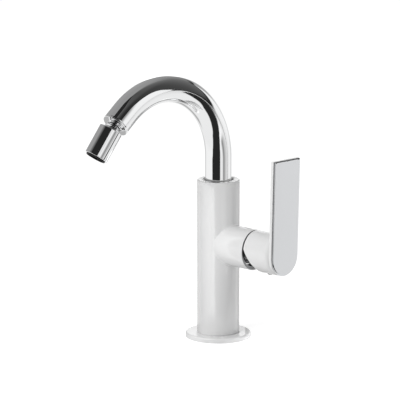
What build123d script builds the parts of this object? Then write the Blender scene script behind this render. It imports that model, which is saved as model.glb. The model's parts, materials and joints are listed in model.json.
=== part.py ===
from build123d import *
from math import asin, cos, degrees, radians, sin, tan
import os

# Bidet mixer: a column on a base flange, a side branch with the cartridge and the lever,
# a swivelling tube spout and a swivel jet on a ball joint.
# The origin is the centre of the underside, on the deck. +Z is up, the spout points along -Y
# and the side branch along +X.
# All sizes are in millimetres.

os.makedirs("parts", exist_ok=True)

# Clearances and small edges shared by many pieces
turning_clearance = 0.05
fitted_gap = 0.1
free_gap = 0.3
cut_overrun = 2.0
fine_edge = 0.4
small_edge = 0.8

# Column, its foot and the round base flange
body_radius = 17.5
body_height = 132.0
body_rim_edge = 1.0
foot_edge = 0.5
register_radius = 14.0
flange_radius = 27.0
flange_thickness = 4.0
flange_edge = 1.5
seal_setback = 6.5
seal_width = 3.0
seal_thickness = 1.6

# Threads below the foot, at their wall radius: two hose inlets and the fixing stud
inlet_radius = 4.5
inlet_depth = 12.0
inlet_spacing = 13.2
inlet_setback = 3.2
stud_hole_radius = 3.4
stud_hole_depth = 18.0
stud_hole_offset = 8.6

# Waterways inside the casting
feed_radius = 3.0
mixed_way_radius = 3.0
mixed_way_setback = 7.0

# Side branch, an upright oval that carries the cartridge
branch_height = 79.3
branch_wall = 1.2
branch_crown = 2.1
branch_reach = 42.0
junction_edge = 1.2
branch_rim_edge = 0.5

# Spout socket in the top of the column
tube_radius = 11.0
tube_wall = 1.5
glide_ring_width = 1.2
socket_mouth_depth = 6.0
tube_seat_depth = 20.7
spigot_shoulder = 2.2
spigot_length = 18.0
spigot_wall = 2.8
spigot_tube_length = 12.0
glide_ring_drop = 1.6
thrust_ring_thickness = 1.0
o_ring_section = 1.7
o_ring_pitch = 4.2
o_ring_count = 2
stop_groove_width = 3.6
stop_groove_depth = 1.5
stop_groove_drop = 4.6
stop_margin_angle = 1.0
swivel_half_angle = 60.0
lock_screw_radius = 2.5
lock_screw_point_radius = 1.5
lock_screw_recess = 0.6
hex_socket_share = 0.55
hex_depth_share = 0.4

# Bent spout tube
riser_height = 18.6
bend_radius = 63.1
bend_angle = 129.15
tip_length = 13.1
collar_lip = 1.2
collar_length = 8.0
collar_step = 0.5
collar_wall = 3.1

# Swivel jet: ball stem, liner, seat, sleeve and aerator. The sleeve hangs steeper than the
# tube's end and leans a little to the side away from the branch.
ball_radius = 7.4
ball_neck_radius = 4.6
stem_bore = 3.0
liner_thickness = 0.9
liner_up_angle = 15.0
liner_down_angle = 9.0
jet_droop = 17.5
jet_side_lean = 7.0
sleeve_wall = 1.2
sleeve_mouth_rise = 2.8
sleeve_length = 24.8
sleeve_edge = 0.5
seat_start = 3.8
seat_length = 3.2
seat_hole_radius = 4.2
jet_washer_thickness = 1.6
aerator_lip = 1.1
aerator_wall = 1.0
aerator_inset = 0.25
diffuser_thickness = 2.2
diffuser_ring_count = 8
diffuser_hole_radius = 0.8
diffuser_hole_circle_share = 0.6
screen_thickness = 0.5
screen_gap = 0.7
screen_count = 2
screen_slot_width = 0.7
screen_slot_pitch = 1.9
screen_slot_count = 5
screen_depth = 1.6

# Cartridge, measured along the branch from the chamber floor
chamber_floor = 14.0
nut_ledge = 0.7
housing_radius = 12.5
housing_wall = 1.5
housing_neck_step = 0.6
housing_neck_wall = 1.0
housing_neck_length = 12.4
housing_shoulder_inset = 0.2
housing_shoulder_height = 2.0
housing_lid_thickness = 1.8
housing_lid_rim = 1.0
base_standoff = 0.3
base_thickness = 4.5
base_spigot_height = 1.0
port_radius = 1.8
port_offset = 3.9
port_rise = 3.9
port_seal_width = 1.2
port_seal_thickness = 1.4
outlet_drop = 4.2
outlet_radius = 2.1
fixed_disc_inset = 0.4
fixed_disc_thickness = 3.0
moving_disc_radius = 8.7
moving_disc_thickness = 3.2
mixing_recess_depth = 1.6
mixing_recess_radius = 3.5
mixing_recess_stretch = 2.6
carrier_thickness = 3.6
carrier_flat = 6.8
rotor_flange_thickness = 1.0
pivot_rise = 5.0
pivot_pin_radius = 1.5
pivot_pin_length = 18.0
nut_height = 3.6
nut_slot_count = 4
nut_slot_width = 3.0
nut_slot_depth = 1.4
cover_wall = 0.9
cover_air = 0.3
cover_rise = 2.6
cover_edge = 1.2
cover_lip = 2.0
cover_flange_thickness = 1.0

# Lever: stem, hub with its paddle, bright face plate, set screw and plug
lever_tilt_range = 20.0
stem_width = 5.0
stem_depth = 6.0
stem_square = 7.0
stem_shank_end = 10.6
stem_ball_radius = 1.8
stem_neck_radius = 1.3
stem_boss_radius = 4.0
hub_gap = 1.4
hub_wall = 1.6
hub_cavity_depth = 13.6
hub_bevel_angle = 32.0
hub_bevel_start = 3.5
stem_grip_length = 11.0
hub_length = 33.4
paddle_flare = 0.1
paddle_rise = 79.5
paddle_foot_lift = 0.9
paddle_thickness = 2.7
plate_thickness = 1.4
paddle_lean = 1.5
paddle_corner = 1.2
set_screw_radius = 2.5
set_screw_length = 8.0
plug_length = 3.0
set_screw_setback = 3.5

# Radii worked out from the sizes above
seal_inner_radius = flange_radius - seal_setback
socket_mouth_radius = tube_radius + glide_ring_width
tube_bore = tube_radius - tube_wall
spigot_radius = tube_radius - spigot_shoulder
spigot_bore = spigot_radius - spigot_wall
stem_thread_radius = tube_bore - collar_wall
liner_inner = ball_radius + turning_clearance
liner_outer = liner_inner + liner_thickness
cavity_radius = liner_outer + turning_clearance
sleeve_radius = cavity_radius + sleeve_wall
housing_bore = housing_radius - housing_wall
housing_neck_radius = housing_bore - housing_neck_step
housing_neck_bore = housing_neck_radius - housing_neck_wall
housing_mouth_radius = housing_neck_bore - housing_lid_rim
fixed_disc_radius = housing_bore - fixed_disc_inset
chamber_radius = housing_radius + free_gap
nut_thread_radius = chamber_radius + nut_ledge
housing_shoulder_radius = nut_thread_radius - housing_shoulder_inset
cover_radius = housing_neck_radius + cover_air + cover_wall
cover_mouth_radius = cover_radius - cover_lip
branch_half_width = nut_thread_radius + branch_wall
branch_half_height = branch_half_width + branch_crown
paddle_half_width = branch_half_width + paddle_flare
paddle_foot = branch_half_height - paddle_foot_lift

# Places worked out from the sizes above
tube_foot = body_height - tube_seat_depth
thrust_seat = tube_foot - free_gap - thrust_ring_thickness
spigot_foot = tube_foot - spigot_length
spigot_hole_floor = spigot_foot - small_edge
stop_groove_height = tube_foot - stop_groove_drop
arc_start = body_height + riser_height
inlet_y = inlet_spacing / 2
outlet_height = branch_height - outlet_drop
port_height = branch_height + port_rise
ball_standoff = collar_lip + fitted_gap + ball_radius

# The cartridge's stack, from the chamber's floor outward
base_end = base_standoff + base_thickness
disc_start = base_end + base_spigot_height
moving_start = disc_start + fixed_disc_thickness + turning_clearance
carrier_start = moving_start + moving_disc_thickness
carrier_end = carrier_start + carrier_thickness
rotor_start = carrier_end + free_gap
rotor_flange_end = rotor_start + rotor_flange_thickness
nut_seat = rotor_flange_end + turning_clearance
nut_start = nut_seat + housing_shoulder_height
nut_end = nut_start + nut_height
pivot_depth = nut_seat + pivot_rise
housing_top = nut_seat + housing_neck_length
cover_top = housing_top + cover_rise
hub_depth = branch_reach - chamber_floor + hub_gap
cavity_end = hub_depth + hub_cavity_depth
stem_end = cavity_end + stem_grip_length
hub_rim = chamber_floor + hub_depth
paddle_face_reach = hub_rim + hub_length
set_screw_place = chamber_floor + cavity_end + set_screw_setback


# Axis directions
along_x = Vector(1, 0, 0)
along_y = Vector(0, 1, 0)
along_z = Vector(0, 0, 1)


def lathe_plane(origin, axis_direction, across):
    """Plane for a turned profile: its x runs across, away from the axis, and its y along it."""
    return Plane(origin=origin, x_dir=across, z_dir=across.cross(axis_direction))


def washer(plane, outer_radius, inner_radius, thickness):
    """A flat round ring that stands on a plane."""
    with BuildPart() as ring:
        with BuildSketch(plane):
            Circle(outer_radius)
            Circle(inner_radius, mode=Mode.SUBTRACT)
        extrude(amount=thickness)
    return ring


def branch_plane(depth):
    """Plane across the branch, at a depth measured from the cartridge chamber's floor."""
    return Plane(
        origin=(chamber_floor + depth, 0, branch_height), x_dir=along_y, z_dir=along_x
    )


# Base flange: the round white foot plate, with a groove for the seal in its underside
with BuildPart() as base_flange:
    with BuildSketch():
        Circle(flange_radius)
        Circle(register_radius + fitted_gap, mode=Mode.SUBTRACT)
    extrude(amount=flange_thickness)
    with BuildSketch():
        Circle(seal_inner_radius + seal_width)
        Circle(seal_inner_radius, mode=Mode.SUBTRACT)
    extrude(amount=seal_thickness, mode=Mode.SUBTRACT)
    top_edges = base_flange.edges().filter_by(GeomType.CIRCLE).group_by(Axis.Z)[-1]
    fillet(top_edges.sort_by(SortBy.RADIUS)[-1], flange_edge)
base_flange.part.label = "base_flange"
export_step(base_flange.part, "parts/base_flange.step")

# Base seal: a flat rubber ring in the flange's groove
base_seal = washer(
    Plane.XY,
    seal_inner_radius + seal_width - fitted_gap,
    seal_inner_radius + fitted_gap,
    seal_thickness - fitted_gap,
)
base_seal.part.label = "base_seal"
export_step(base_seal.part, "parts/base_seal.step")

# Body: column and side branch in one casting
with BuildPart() as mixer_body:
    with BuildSketch():
        Circle(register_radius)
    extrude(amount=flange_thickness)
    with BuildSketch(Plane.XY.offset(flange_thickness)):
        Circle(body_radius)
    extrude(amount=body_height - flange_thickness)
    column_rings = mixer_body.edges().filter_by(GeomType.CIRCLE).group_by(Axis.Z)
    fillet(column_rings[-1], body_rim_edge)
    chamfer(column_rings[1].sort_by(SortBy.RADIUS)[-1], foot_edge)
    with BuildSketch(branch_plane(-chamber_floor)):
        Ellipse(branch_half_width, branch_half_height)
    extrude(amount=branch_reach)
    fillet(mixer_body.edges().filter_by(GeomType.BSPLINE), junction_edge)
    fillet(mixer_body.faces().sort_by(Axis.X)[-1].edges(), branch_rim_edge)

    # Spout socket: mouth, tube bore and spigot bore
    with BuildSketch(Plane.XY.offset(body_height)):
        Circle(socket_mouth_radius)
    extrude(amount=-socket_mouth_depth, mode=Mode.SUBTRACT)
    with BuildSketch(Plane.XY.offset(body_height)):
        Circle(tube_radius + free_gap)
    extrude(amount=thrust_seat - body_height, mode=Mode.SUBTRACT)
    with BuildSketch(Plane.XY.offset(body_height)):
        Circle(spigot_radius + fitted_gap)
    extrude(amount=spigot_hole_floor - body_height, mode=Mode.SUBTRACT)
    mouth_rings = mixer_body.edges().filter_by(GeomType.CIRCLE).group_by(Axis.Z)[-1]
    chamfer(mouth_rings.sort_by(SortBy.RADIUS)[0], foot_edge)

    # Cartridge chamber and the wider bore for its nut
    with BuildSketch(branch_plane(0)):
        Circle(chamber_radius)
    extrude(amount=branch_reach - chamber_floor, mode=Mode.SUBTRACT)
    with BuildSketch(branch_plane(nut_seat)):
        Circle(nut_thread_radius)
    extrude(amount=branch_reach - chamber_floor - nut_seat, mode=Mode.SUBTRACT)

    # Hose inlets with their feeds up to the cartridge, and the stud's thread
    for side in (-1, 1):
        with BuildSketch():
            with Locations((-inlet_setback, side * inlet_y)):
                Circle(inlet_radius)
        extrude(amount=inlet_depth, mode=Mode.SUBTRACT)
        with BuildSketch():
            with Locations((-inlet_setback, side * inlet_y)):
                Circle(feed_radius)
        extrude(amount=port_height, mode=Mode.SUBTRACT)
        feed_end = Vector(-inlet_setback, side * port_offset, port_height)
        with BuildSketch(Plane(origin=feed_end, x_dir=along_y, z_dir=along_x)):
            Circle(port_radius)
        extrude(amount=chamber_floor + inlet_setback, mode=Mode.SUBTRACT)
    with BuildSketch():
        with Locations((stud_hole_offset, 0)):
            Circle(stud_hole_radius)
    extrude(amount=stud_hole_depth, mode=Mode.SUBTRACT)

    # Mixed water goes back from the cartridge and up into the spout socket
    mixed_way_foot = Vector(-mixed_way_setback, 0, outlet_height)
    with BuildSketch(Plane(origin=mixed_way_foot, x_dir=along_y, z_dir=along_x)):
        Circle(outlet_radius)
    extrude(amount=chamber_floor + mixed_way_setback, mode=Mode.SUBTRACT)
    with BuildSketch(Plane(origin=mixed_way_foot, x_dir=along_x, z_dir=along_z)):
        Circle(mixed_way_radius)
    extrude(amount=spigot_hole_floor - outlet_height, mode=Mode.SUBTRACT)

    # Threaded hole for the spout's lock screw, at the back
    back_of_screw = Vector(0, body_radius, stop_groove_height)
    with BuildSketch(Plane(origin=back_of_screw, x_dir=along_x, z_dir=along_y)):
        Circle(lock_screw_radius)
    extrude(amount=-(body_radius - spigot_radius), mode=Mode.SUBTRACT)
mixer_body.part.label = "mixer_body"
export_step(mixer_body.part, "parts/mixer_body.step")

# Lock screw: a hollow set screw whose point stands in the spigot's stop groove
lock_screw_start = body_radius - lock_screw_recess
lock_screw_point = spigot_radius - stop_groove_depth + free_gap
lock_screw_shank_end = spigot_radius + free_gap
with BuildPart() as spout_lock_screw:
    screw_head = Vector(0, lock_screw_start, stop_groove_height)
    screw_plane = Plane(origin=screw_head, x_dir=along_x, z_dir=-along_y)
    with BuildSketch(screw_plane):
        Circle(lock_screw_radius - turning_clearance)
    extrude(amount=lock_screw_start - lock_screw_shank_end)
    with BuildSketch(screw_plane):
        Circle(lock_screw_point_radius)
    extrude(amount=lock_screw_start - lock_screw_point)
    with BuildSketch(screw_plane):
        RegularPolygon(lock_screw_radius * hex_socket_share, 6)
    extrude(amount=(lock_screw_start - lock_screw_point) * hex_depth_share, mode=Mode.SUBTRACT)
spout_lock_screw.part.label = "spout_lock_screw"
export_step(spout_lock_screw.part, "parts/spout_lock_screw.step")

# Upper glide ring: guides the tube just below the column's rim
glide_ring_foot = body_height - socket_mouth_depth
upper_glide_ring = washer(
    Plane.XY.offset(glide_ring_foot),
    socket_mouth_radius - fitted_gap,
    tube_radius + turning_clearance,
    socket_mouth_depth - glide_ring_drop,
)
upper_glide_ring.part.label = "upper_glide_ring"
export_step(upper_glide_ring.part, "parts/upper_glide_ring.step")

# Lower glide ring: the thrust washer that the tube's foot turns on
lower_glide_ring = washer(
    Plane.XY.offset(thrust_seat),
    tube_radius,
    spigot_radius + free_gap,
    thrust_ring_thickness + free_gap - turning_clearance,
)
lower_glide_ring.part.label = "lower_glide_ring"
export_step(lower_glide_ring.part, "parts/lower_glide_ring.step")

# Bent spout tube
bend_end_y = -bend_radius + bend_radius * cos(radians(bend_angle))
bend_end_z = arc_start + bend_radius * sin(radians(bend_angle))
tip_direction = Vector(0, -sin(radians(bend_angle)), cos(radians(bend_angle)))
tube_end = Vector(0, bend_end_y, bend_end_z) + tip_direction * tip_length
with BuildPart() as spout_tube:
    with BuildLine(Plane.YZ):
        Line((0, tube_foot), (0, arc_start))
        CenterArc((-bend_radius, arc_start), bend_radius, 0, bend_angle)
        Line((bend_end_y, bend_end_z), (tube_end.Y, tube_end.Z))
    with BuildSketch(Plane.XY.offset(tube_foot)):
        Circle(tube_radius)
        Circle(tube_radius - tube_wall, mode=Mode.SUBTRACT)
    sweep()
spout_tube.part.label = "spout_tube"
export_step(spout_tube.part, "parts/spout_tube.step")

# Spout spigot: brazed in the tube's foot, with two O-ring grooves and the stop groove
o_ring_radius = spigot_radius + fitted_gap - turning_clearance - o_ring_section / 2
o_ring_places = [
    spigot_foot + o_ring_section * 2 + place * o_ring_pitch for place in range(o_ring_count)
]
screw_half_angle = degrees(asin(lock_screw_point_radius / (spigot_radius - stop_groove_depth)))
with BuildPart() as spout_spigot:
    with BuildSketch(Plane.XY.offset(spigot_foot)):
        Circle(spigot_radius)
    extrude(amount=spigot_length)
    with BuildSketch(Plane.XY.offset(tube_foot)):
        Circle(tube_bore - turning_clearance)
    extrude(amount=spigot_tube_length)
    for place in o_ring_places:
        with BuildSketch(Plane.XY.offset(place - o_ring_section / 2 - fitted_gap)):
            Circle(spigot_radius + cut_overrun)
            Circle(o_ring_radius - o_ring_section / 2 - fitted_gap, mode=Mode.SUBTRACT)
        extrude(amount=o_ring_section + fitted_gap * 2, mode=Mode.SUBTRACT)
    with BuildSketch(Plane.XY.offset(stop_groove_height - stop_groove_width / 2)):
        with BuildLine():
            reach = spigot_radius + cut_overrun
            half_arc = swivel_half_angle + screw_half_angle + stop_margin_angle
            sweep_arc = CenterArc((0, 0), reach, 90 - half_arc, 2 * half_arc)
            Line(sweep_arc @ 1, (0, 0))
            Line((0, 0), sweep_arc @ 0)
        make_face()
        Circle(spigot_radius - stop_groove_depth, mode=Mode.SUBTRACT)
    extrude(amount=stop_groove_width, mode=Mode.SUBTRACT)
    with BuildSketch(Plane.XY.offset(spigot_foot)):
        Circle(spigot_bore)
    extrude(amount=spigot_length + spigot_tube_length, mode=Mode.SUBTRACT)
spout_spigot.part.label = "spout_spigot"
export_step(spout_spigot.part, "parts/spout_spigot.step")

# Spigot O-rings, two alike
spigot_rings = []
for place in o_ring_places:
    with BuildPart() as spigot_ring:
        with BuildSketch(Plane.XZ):
            with Locations((o_ring_radius, place)):
                Circle(o_ring_section / 2)
        revolve(axis=Axis.Z)
    spigot_rings.append(spigot_ring.part)
spigot_o_rings = Compound(label="spigot_o_rings", children=spigot_rings)
export_step(spigot_o_rings, "parts/spigot_o_rings.step")

# Spout end collar: the thin bright ring at the tube's end, threaded for the ball stem
end_plane = Plane(origin=tube_end, x_dir=along_x, z_dir=tip_direction)
with BuildPart() as spout_end_collar:
    with BuildSketch(end_plane):
        Circle(tube_radius)
    extrude(amount=collar_lip)
    lip_rings = spout_end_collar.edges().filter_by(GeomType.CIRCLE)
    chamfer(lip_rings, fine_edge)
    with BuildSketch(end_plane):
        Circle(tube_bore - turning_clearance)
    extrude(amount=-collar_length)
    with BuildSketch(end_plane.offset(collar_lip)):
        Circle(stem_thread_radius)
    extrude(amount=-(collar_lip + collar_length), mode=Mode.SUBTRACT)
spout_end_collar.part.label = "spout_end_collar"
export_step(spout_end_collar.part, "parts/spout_end_collar.step")

# Ball stem: threaded shank, neck and ball, with the waterway through it
ball_centre = tube_end + tip_direction * ball_standoff
ball_axis = Axis(ball_centre, tip_direction)
with BuildPart() as ball_stem:
    with BuildSketch(end_plane.offset(-collar_length)):
        Circle(stem_thread_radius - turning_clearance)
    extrude(amount=collar_length + collar_lip - collar_step)
    with BuildSketch(end_plane):
        Circle(ball_neck_radius)
    extrude(amount=ball_standoff)
    with BuildSketch(lathe_plane(ball_centre, tip_direction, along_x)):
        with BuildLine():
            ball_arc = CenterArc((0, 0), ball_radius, -90, 180)
            Line(ball_arc @ 1, ball_arc @ 0)
        make_face()
    revolve(axis=ball_axis)
    with BuildSketch(end_plane.offset(-collar_length)):
        Circle(stem_bore)
    extrude(amount=collar_length + ball_standoff + ball_radius, mode=Mode.SUBTRACT)
ball_stem.part.label = "ball_stem"
export_step(ball_stem.part, "parts/ball_stem.step")

# The jet's own axis, drooping below the tube's end and leaning to one side
jet_fall = Vector(
    0, -sin(radians(bend_angle + jet_droop)), cos(radians(bend_angle + jet_droop))
)
side_lean = radians(jet_side_lean)
jet_direction = jet_fall * cos(side_lean) - along_x * sin(side_lean)
jet_across = along_x * cos(side_lean) + jet_fall * sin(side_lean)
jet_axis = Axis(ball_centre, jet_direction)
jet_profile = lathe_plane(ball_centre, jet_direction, jet_across)
jet_plane = Plane(origin=ball_centre, x_dir=jet_across, z_dir=jet_direction)

# Ball liner: a thin plastic zone of a sphere between ball and sleeve. It takes no part in the
# lean to the side, so it stands square to the fall alone.
liner_span = liner_up_angle + liner_down_angle
with BuildPart() as ball_liner:
    with BuildSketch(lathe_plane(ball_centre, jet_fall, along_x)):
        with BuildLine():
            outside = CenterArc((0, 0), liner_outer, -liner_up_angle, liner_span)
            inside = CenterArc((0, 0), liner_inner, -liner_up_angle, liner_span)
            Line(inside @ 0, outside @ 0)
            Line(inside @ 1, outside @ 1)
        make_face()
    revolve(axis=Axis(ball_centre, jet_fall))
ball_liner.part.label = "ball_liner"
export_step(ball_liner.part, "parts/ball_liner.step")

# Ball seat: a plastic cup ring that closes on the ball from below
with BuildPart() as ball_seat:
    with BuildSketch(jet_plane.offset(seat_start)):
        Circle(cavity_radius - turning_clearance)
    extrude(amount=seat_length)
    with BuildSketch(jet_profile):
        with BuildLine():
            hollow = CenterArc((0, 0), liner_inner, -90, 180)
            Line(hollow @ 1, hollow @ 0)
        make_face()
    revolve(axis=jet_axis, mode=Mode.SUBTRACT)
    with BuildSketch(jet_plane.offset(seat_start)):
        Circle(seat_hole_radius)
    extrude(amount=seat_length, mode=Mode.SUBTRACT)
ball_seat.part.label = "ball_seat"
export_step(ball_seat.part, "parts/ball_seat.step")

# Nozzle sleeve: bright cylinder that swivels on the ball; its bore is round-ended at the mouth
sleeve_end = sleeve_length - sleeve_mouth_rise
with BuildPart() as nozzle_sleeve:
    with BuildSketch(jet_plane.offset(-sleeve_mouth_rise)):
        Circle(sleeve_radius)
    extrude(amount=sleeve_length)
    chamfer(nozzle_sleeve.edges().filter_by(GeomType.CIRCLE), sleeve_edge)
    with BuildSketch(jet_profile):
        with BuildLine():
            cavity = CenterArc((0, 0), cavity_radius, -90, 180)
            Line(cavity @ 1, cavity @ 0)
        make_face()
    revolve(axis=jet_axis, mode=Mode.SUBTRACT)
    with BuildSketch(jet_plane):
        Circle(cavity_radius)
    extrude(amount=sleeve_end, mode=Mode.SUBTRACT)
nozzle_sleeve.part.label = "nozzle_sleeve"
export_step(nozzle_sleeve.part, "parts/nozzle_sleeve.step")

# Jet washer: rubber ring between the ball seat and the aerator
washer_start = seat_start + seat_length + turning_clearance
jet_washer = washer(
    jet_plane.offset(washer_start),
    cavity_radius - fitted_gap,
    seat_hole_radius,
    jet_washer_thickness,
)
jet_washer.part.label = "jet_washer"
export_step(jet_washer.part, "parts/jet_washer.step")

# Aerator housing: the dark insert that stands a little out of the sleeve
aerator_start = washer_start + jet_washer_thickness
aerator_end = sleeve_end + aerator_lip
aerator_radius = cavity_radius - aerator_inset
with BuildPart() as aerator_housing:
    with BuildSketch(jet_plane.offset(aerator_start)):
        Circle(aerator_radius)
    extrude(amount=aerator_end - aerator_start)
    chamfer(aerator_housing.edges().filter_by(GeomType.CIRCLE), fine_edge)
    with BuildSketch(jet_plane.offset(aerator_end)):
        Circle(aerator_radius - aerator_wall)
    extrude(amount=aerator_start + aerator_wall - aerator_end, mode=Mode.SUBTRACT)
    with BuildSketch(jet_plane.offset(aerator_start)):
        Circle(seat_hole_radius)
    extrude(amount=aerator_wall, mode=Mode.SUBTRACT)
aerator_housing.part.label = "aerator_housing"
export_step(aerator_housing.part, "parts/aerator_housing.step")

# Diffuser: the drilled plate inside the aerator
diffuser_start = aerator_start + aerator_wall
insert_radius = aerator_radius - aerator_wall - fitted_gap
with BuildPart() as aerator_diffuser:
    with BuildSketch(jet_plane.offset(diffuser_start)):
        Circle(insert_radius)
        with PolarLocations(insert_radius * diffuser_hole_circle_share, diffuser_ring_count):
            Circle(diffuser_hole_radius, mode=Mode.SUBTRACT)
    extrude(amount=diffuser_thickness)
aerator_diffuser.part.label = "aerator_diffuser"
export_step(aerator_diffuser.part, "parts/aerator_diffuser.step")

# Screens: two slotted discs near the outlet, the slots of one across those of the other
screens = []
for turn in range(screen_count):
    depth = aerator_end - screen_depth - turn * (screen_thickness + screen_gap)
    with BuildPart() as screen:
        with BuildSketch(jet_plane.offset(depth - screen_thickness)):
            Circle(insert_radius)
            with Locations(Rotation(0, 0, turn * 90)):
                with GridLocations(screen_slot_pitch, 0, screen_slot_count, 1):
                    SlotOverall(insert_radius, screen_slot_width, rotation=90, mode=Mode.SUBTRACT)
        extrude(amount=screen_thickness)
    screens.append(screen.part)
aerator_screens = Compound(label="aerator_screens", children=screens)
export_step(aerator_screens, "parts/aerator_screens.step")

# Cartridge base: closes the housing's inner end, with two inlets and the outlet
port_places = [(port_offset, port_rise), (-port_offset, port_rise), (0, -outlet_drop)]
port_radii = [port_radius, port_radius, outlet_radius]
with BuildPart() as cartridge_base:
    with BuildSketch(branch_plane(base_standoff)):
        Circle(housing_radius)
    extrude(amount=base_thickness)
    with BuildSketch(branch_plane(base_end)):
        Circle(housing_bore - fitted_gap)
    extrude(amount=base_spigot_height)
    for place, radius in zip(port_places, port_radii):
        with BuildSketch(branch_plane(base_standoff)):
            with Locations(place):
                Circle(radius)
        extrude(amount=base_thickness + base_spigot_height, mode=Mode.SUBTRACT)
        with BuildSketch(branch_plane(base_standoff)):
            with Locations(place):
                Circle(radius + port_seal_width)
        extrude(amount=port_seal_thickness - base_standoff, mode=Mode.SUBTRACT)
cartridge_base.part.label = "cartridge_base"
export_step(cartridge_base.part, "parts/cartridge_base.step")

# Cartridge seals: one ring at each port, between the base and the chamber's floor
seal_rings = []
for place, radius in zip(port_places, port_radii):
    with BuildPart() as seal_ring:
        with BuildSketch(branch_plane(0)):
            with Locations(place):
                Circle(radius + port_seal_width - fitted_gap)
                Circle(radius, mode=Mode.SUBTRACT)
        extrude(amount=port_seal_thickness)
    seal_rings.append(seal_ring.part)
cartridge_seals = Compound(label="cartridge_seals", children=seal_rings)
export_step(cartridge_seals, "parts/cartridge_seals.step")

# Fixed ceramic disc, with the three ports through it
with BuildPart() as fixed_ceramic_disc:
    with BuildSketch(branch_plane(disc_start)):
        Circle(fixed_disc_radius)
        for place, radius in zip(port_places, port_radii):
            with Locations(place):
                Circle(radius, mode=Mode.SUBTRACT)
    extrude(amount=fixed_disc_thickness)
fixed_ceramic_disc.part.label = "fixed_ceramic_disc"
export_step(fixed_ceramic_disc.part, "parts/fixed_ceramic_disc.step")

# Moving ceramic disc and its carrier, which slide across as the lever tilts.
# At rest, closed, they stand half their travel below the middle.
socket_floor = carrier_start + small_edge
stem_ball_depth = socket_floor + stem_ball_radius + fitted_gap
lever_arm = pivot_depth - stem_ball_depth
slide_travel = lever_arm * sin(radians(lever_tilt_range))
rest_shift = -slide_travel / 2
recess_plane = branch_plane(moving_start)
with BuildPart() as moving_ceramic_disc:
    with BuildSketch(recess_plane):
        with Locations((0, rest_shift)):
            Circle(moving_disc_radius)
    extrude(amount=moving_disc_thickness)
    with BuildSketch(recess_plane):
        with Locations((0, rest_shift - mixing_recess_stretch / 2)):
            SlotCenterToCenter(mixing_recess_stretch, 2 * mixing_recess_radius, rotation=90)
    extrude(amount=mixing_recess_depth, mode=Mode.SUBTRACT)
moving_ceramic_disc.part.label = "moving_ceramic_disc"
export_step(moving_ceramic_disc.part, "parts/moving_ceramic_disc.step")

# Disc carrier: slides between the rotor's rails, pushed by the stem's ball end
with BuildPart() as disc_carrier:
    with BuildSketch(branch_plane(carrier_start)):
        with Locations((0, rest_shift)):
            Circle(moving_disc_radius)
        Rectangle(2 * carrier_flat, 4 * moving_disc_radius, mode=Mode.INTERSECT)
    extrude(amount=carrier_thickness)
    with BuildSketch(branch_plane(socket_floor)):
        Circle(stem_ball_radius + fitted_gap)
    extrude(amount=carrier_end - socket_floor, mode=Mode.SUBTRACT)
disc_carrier.part.label = "disc_carrier"
export_step(disc_carrier.part, "parts/disc_carrier.step")

# Cartridge housing: plastic shell with a shoulder for the nut and a lid round the rotor's neck
with BuildPart() as cartridge_housing:
    with BuildSketch(branch_plane(base_end)):
        Circle(housing_radius)
    extrude(amount=nut_seat - base_end)
    with BuildSketch(branch_plane(nut_seat)):
        Circle(housing_shoulder_radius)
    extrude(amount=housing_shoulder_height)
    with BuildSketch(branch_plane(nut_seat)):
        Circle(housing_neck_radius)
    extrude(amount=housing_top - nut_seat)
    chamfer(cartridge_housing.edges().filter_by(GeomType.CIRCLE).sort_by(Axis.X)[-1], fine_edge)
    with BuildSketch(branch_plane(base_end)):
        Circle(housing_bore)
    extrude(amount=nut_seat - base_end, mode=Mode.SUBTRACT)
    with BuildSketch(branch_plane(base_end)):
        Circle(housing_neck_bore)
    extrude(amount=housing_top - housing_lid_thickness - base_end, mode=Mode.SUBTRACT)
    with BuildSketch(branch_plane(base_end)):
        Circle(housing_mouth_radius)
    extrude(amount=housing_top - base_end, mode=Mode.SUBTRACT)
cartridge_housing.part.label = "cartridge_housing"
export_step(cartridge_housing.part, "parts/cartridge_housing.step")

# Cartridge rotor: turns in the housing, carries the lever's pin and guides the disc carrier
rail_start = carrier_start + free_gap
rotor_neck_start = housing_top - housing_lid_thickness - turning_clearance
rail_plane = branch_plane(rail_start)
slot_width = stem_width + 2 * fitted_gap
slot_top = stem_boss_radius + free_gap
lean_drop = (housing_top - pivot_depth) * tan(radians(lever_tilt_range))
slot_bottom = lean_drop + stem_depth / 2 / cos(radians(lever_tilt_range)) + free_gap
with BuildPart() as cartridge_rotor:
    with BuildSketch(rail_plane):
        Circle(housing_bore - fitted_gap)
        Rectangle(2 * (carrier_flat + fitted_gap), 4 * housing_bore, mode=Mode.SUBTRACT)
    extrude(amount=rotor_start - rail_start)
    with BuildSketch(branch_plane(rotor_start)):
        Circle(housing_bore - fitted_gap)
    extrude(amount=rotor_flange_end - rotor_start)
    with BuildSketch(branch_plane(rotor_start)):
        Circle(housing_neck_bore - turning_clearance)
    extrude(amount=rotor_neck_start - rotor_start)
    with BuildSketch(branch_plane(rotor_start)):
        Circle(housing_mouth_radius - turning_clearance)
    extrude(amount=housing_top - rotor_start)
    with BuildSketch(rail_plane):
        with Locations((0, (slot_top - slot_bottom) / 2)):
            Rectangle(slot_width, slot_top + slot_bottom)
    extrude(amount=housing_top - rail_start, mode=Mode.SUBTRACT)
    pin_plane = Plane(origin=branch_plane(pivot_depth).origin, x_dir=along_x, z_dir=along_y)
    with BuildSketch(pin_plane):
        Circle(pivot_pin_radius)
    extrude(amount=housing_radius, both=True, mode=Mode.SUBTRACT)
cartridge_rotor.part.label = "cartridge_rotor"
export_step(cartridge_rotor.part, "parts/cartridge_rotor.step")

# Pivot pin: pressed through the rotor, the lever tilts on it
with BuildPart() as pivot_pin:
    with BuildSketch(pin_plane):
        Circle(pivot_pin_radius)
    extrude(amount=pivot_pin_length / 2, both=True)
pivot_pin.part.label = "pivot_pin"
export_step(pivot_pin.part, "parts/pivot_pin.step")

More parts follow.
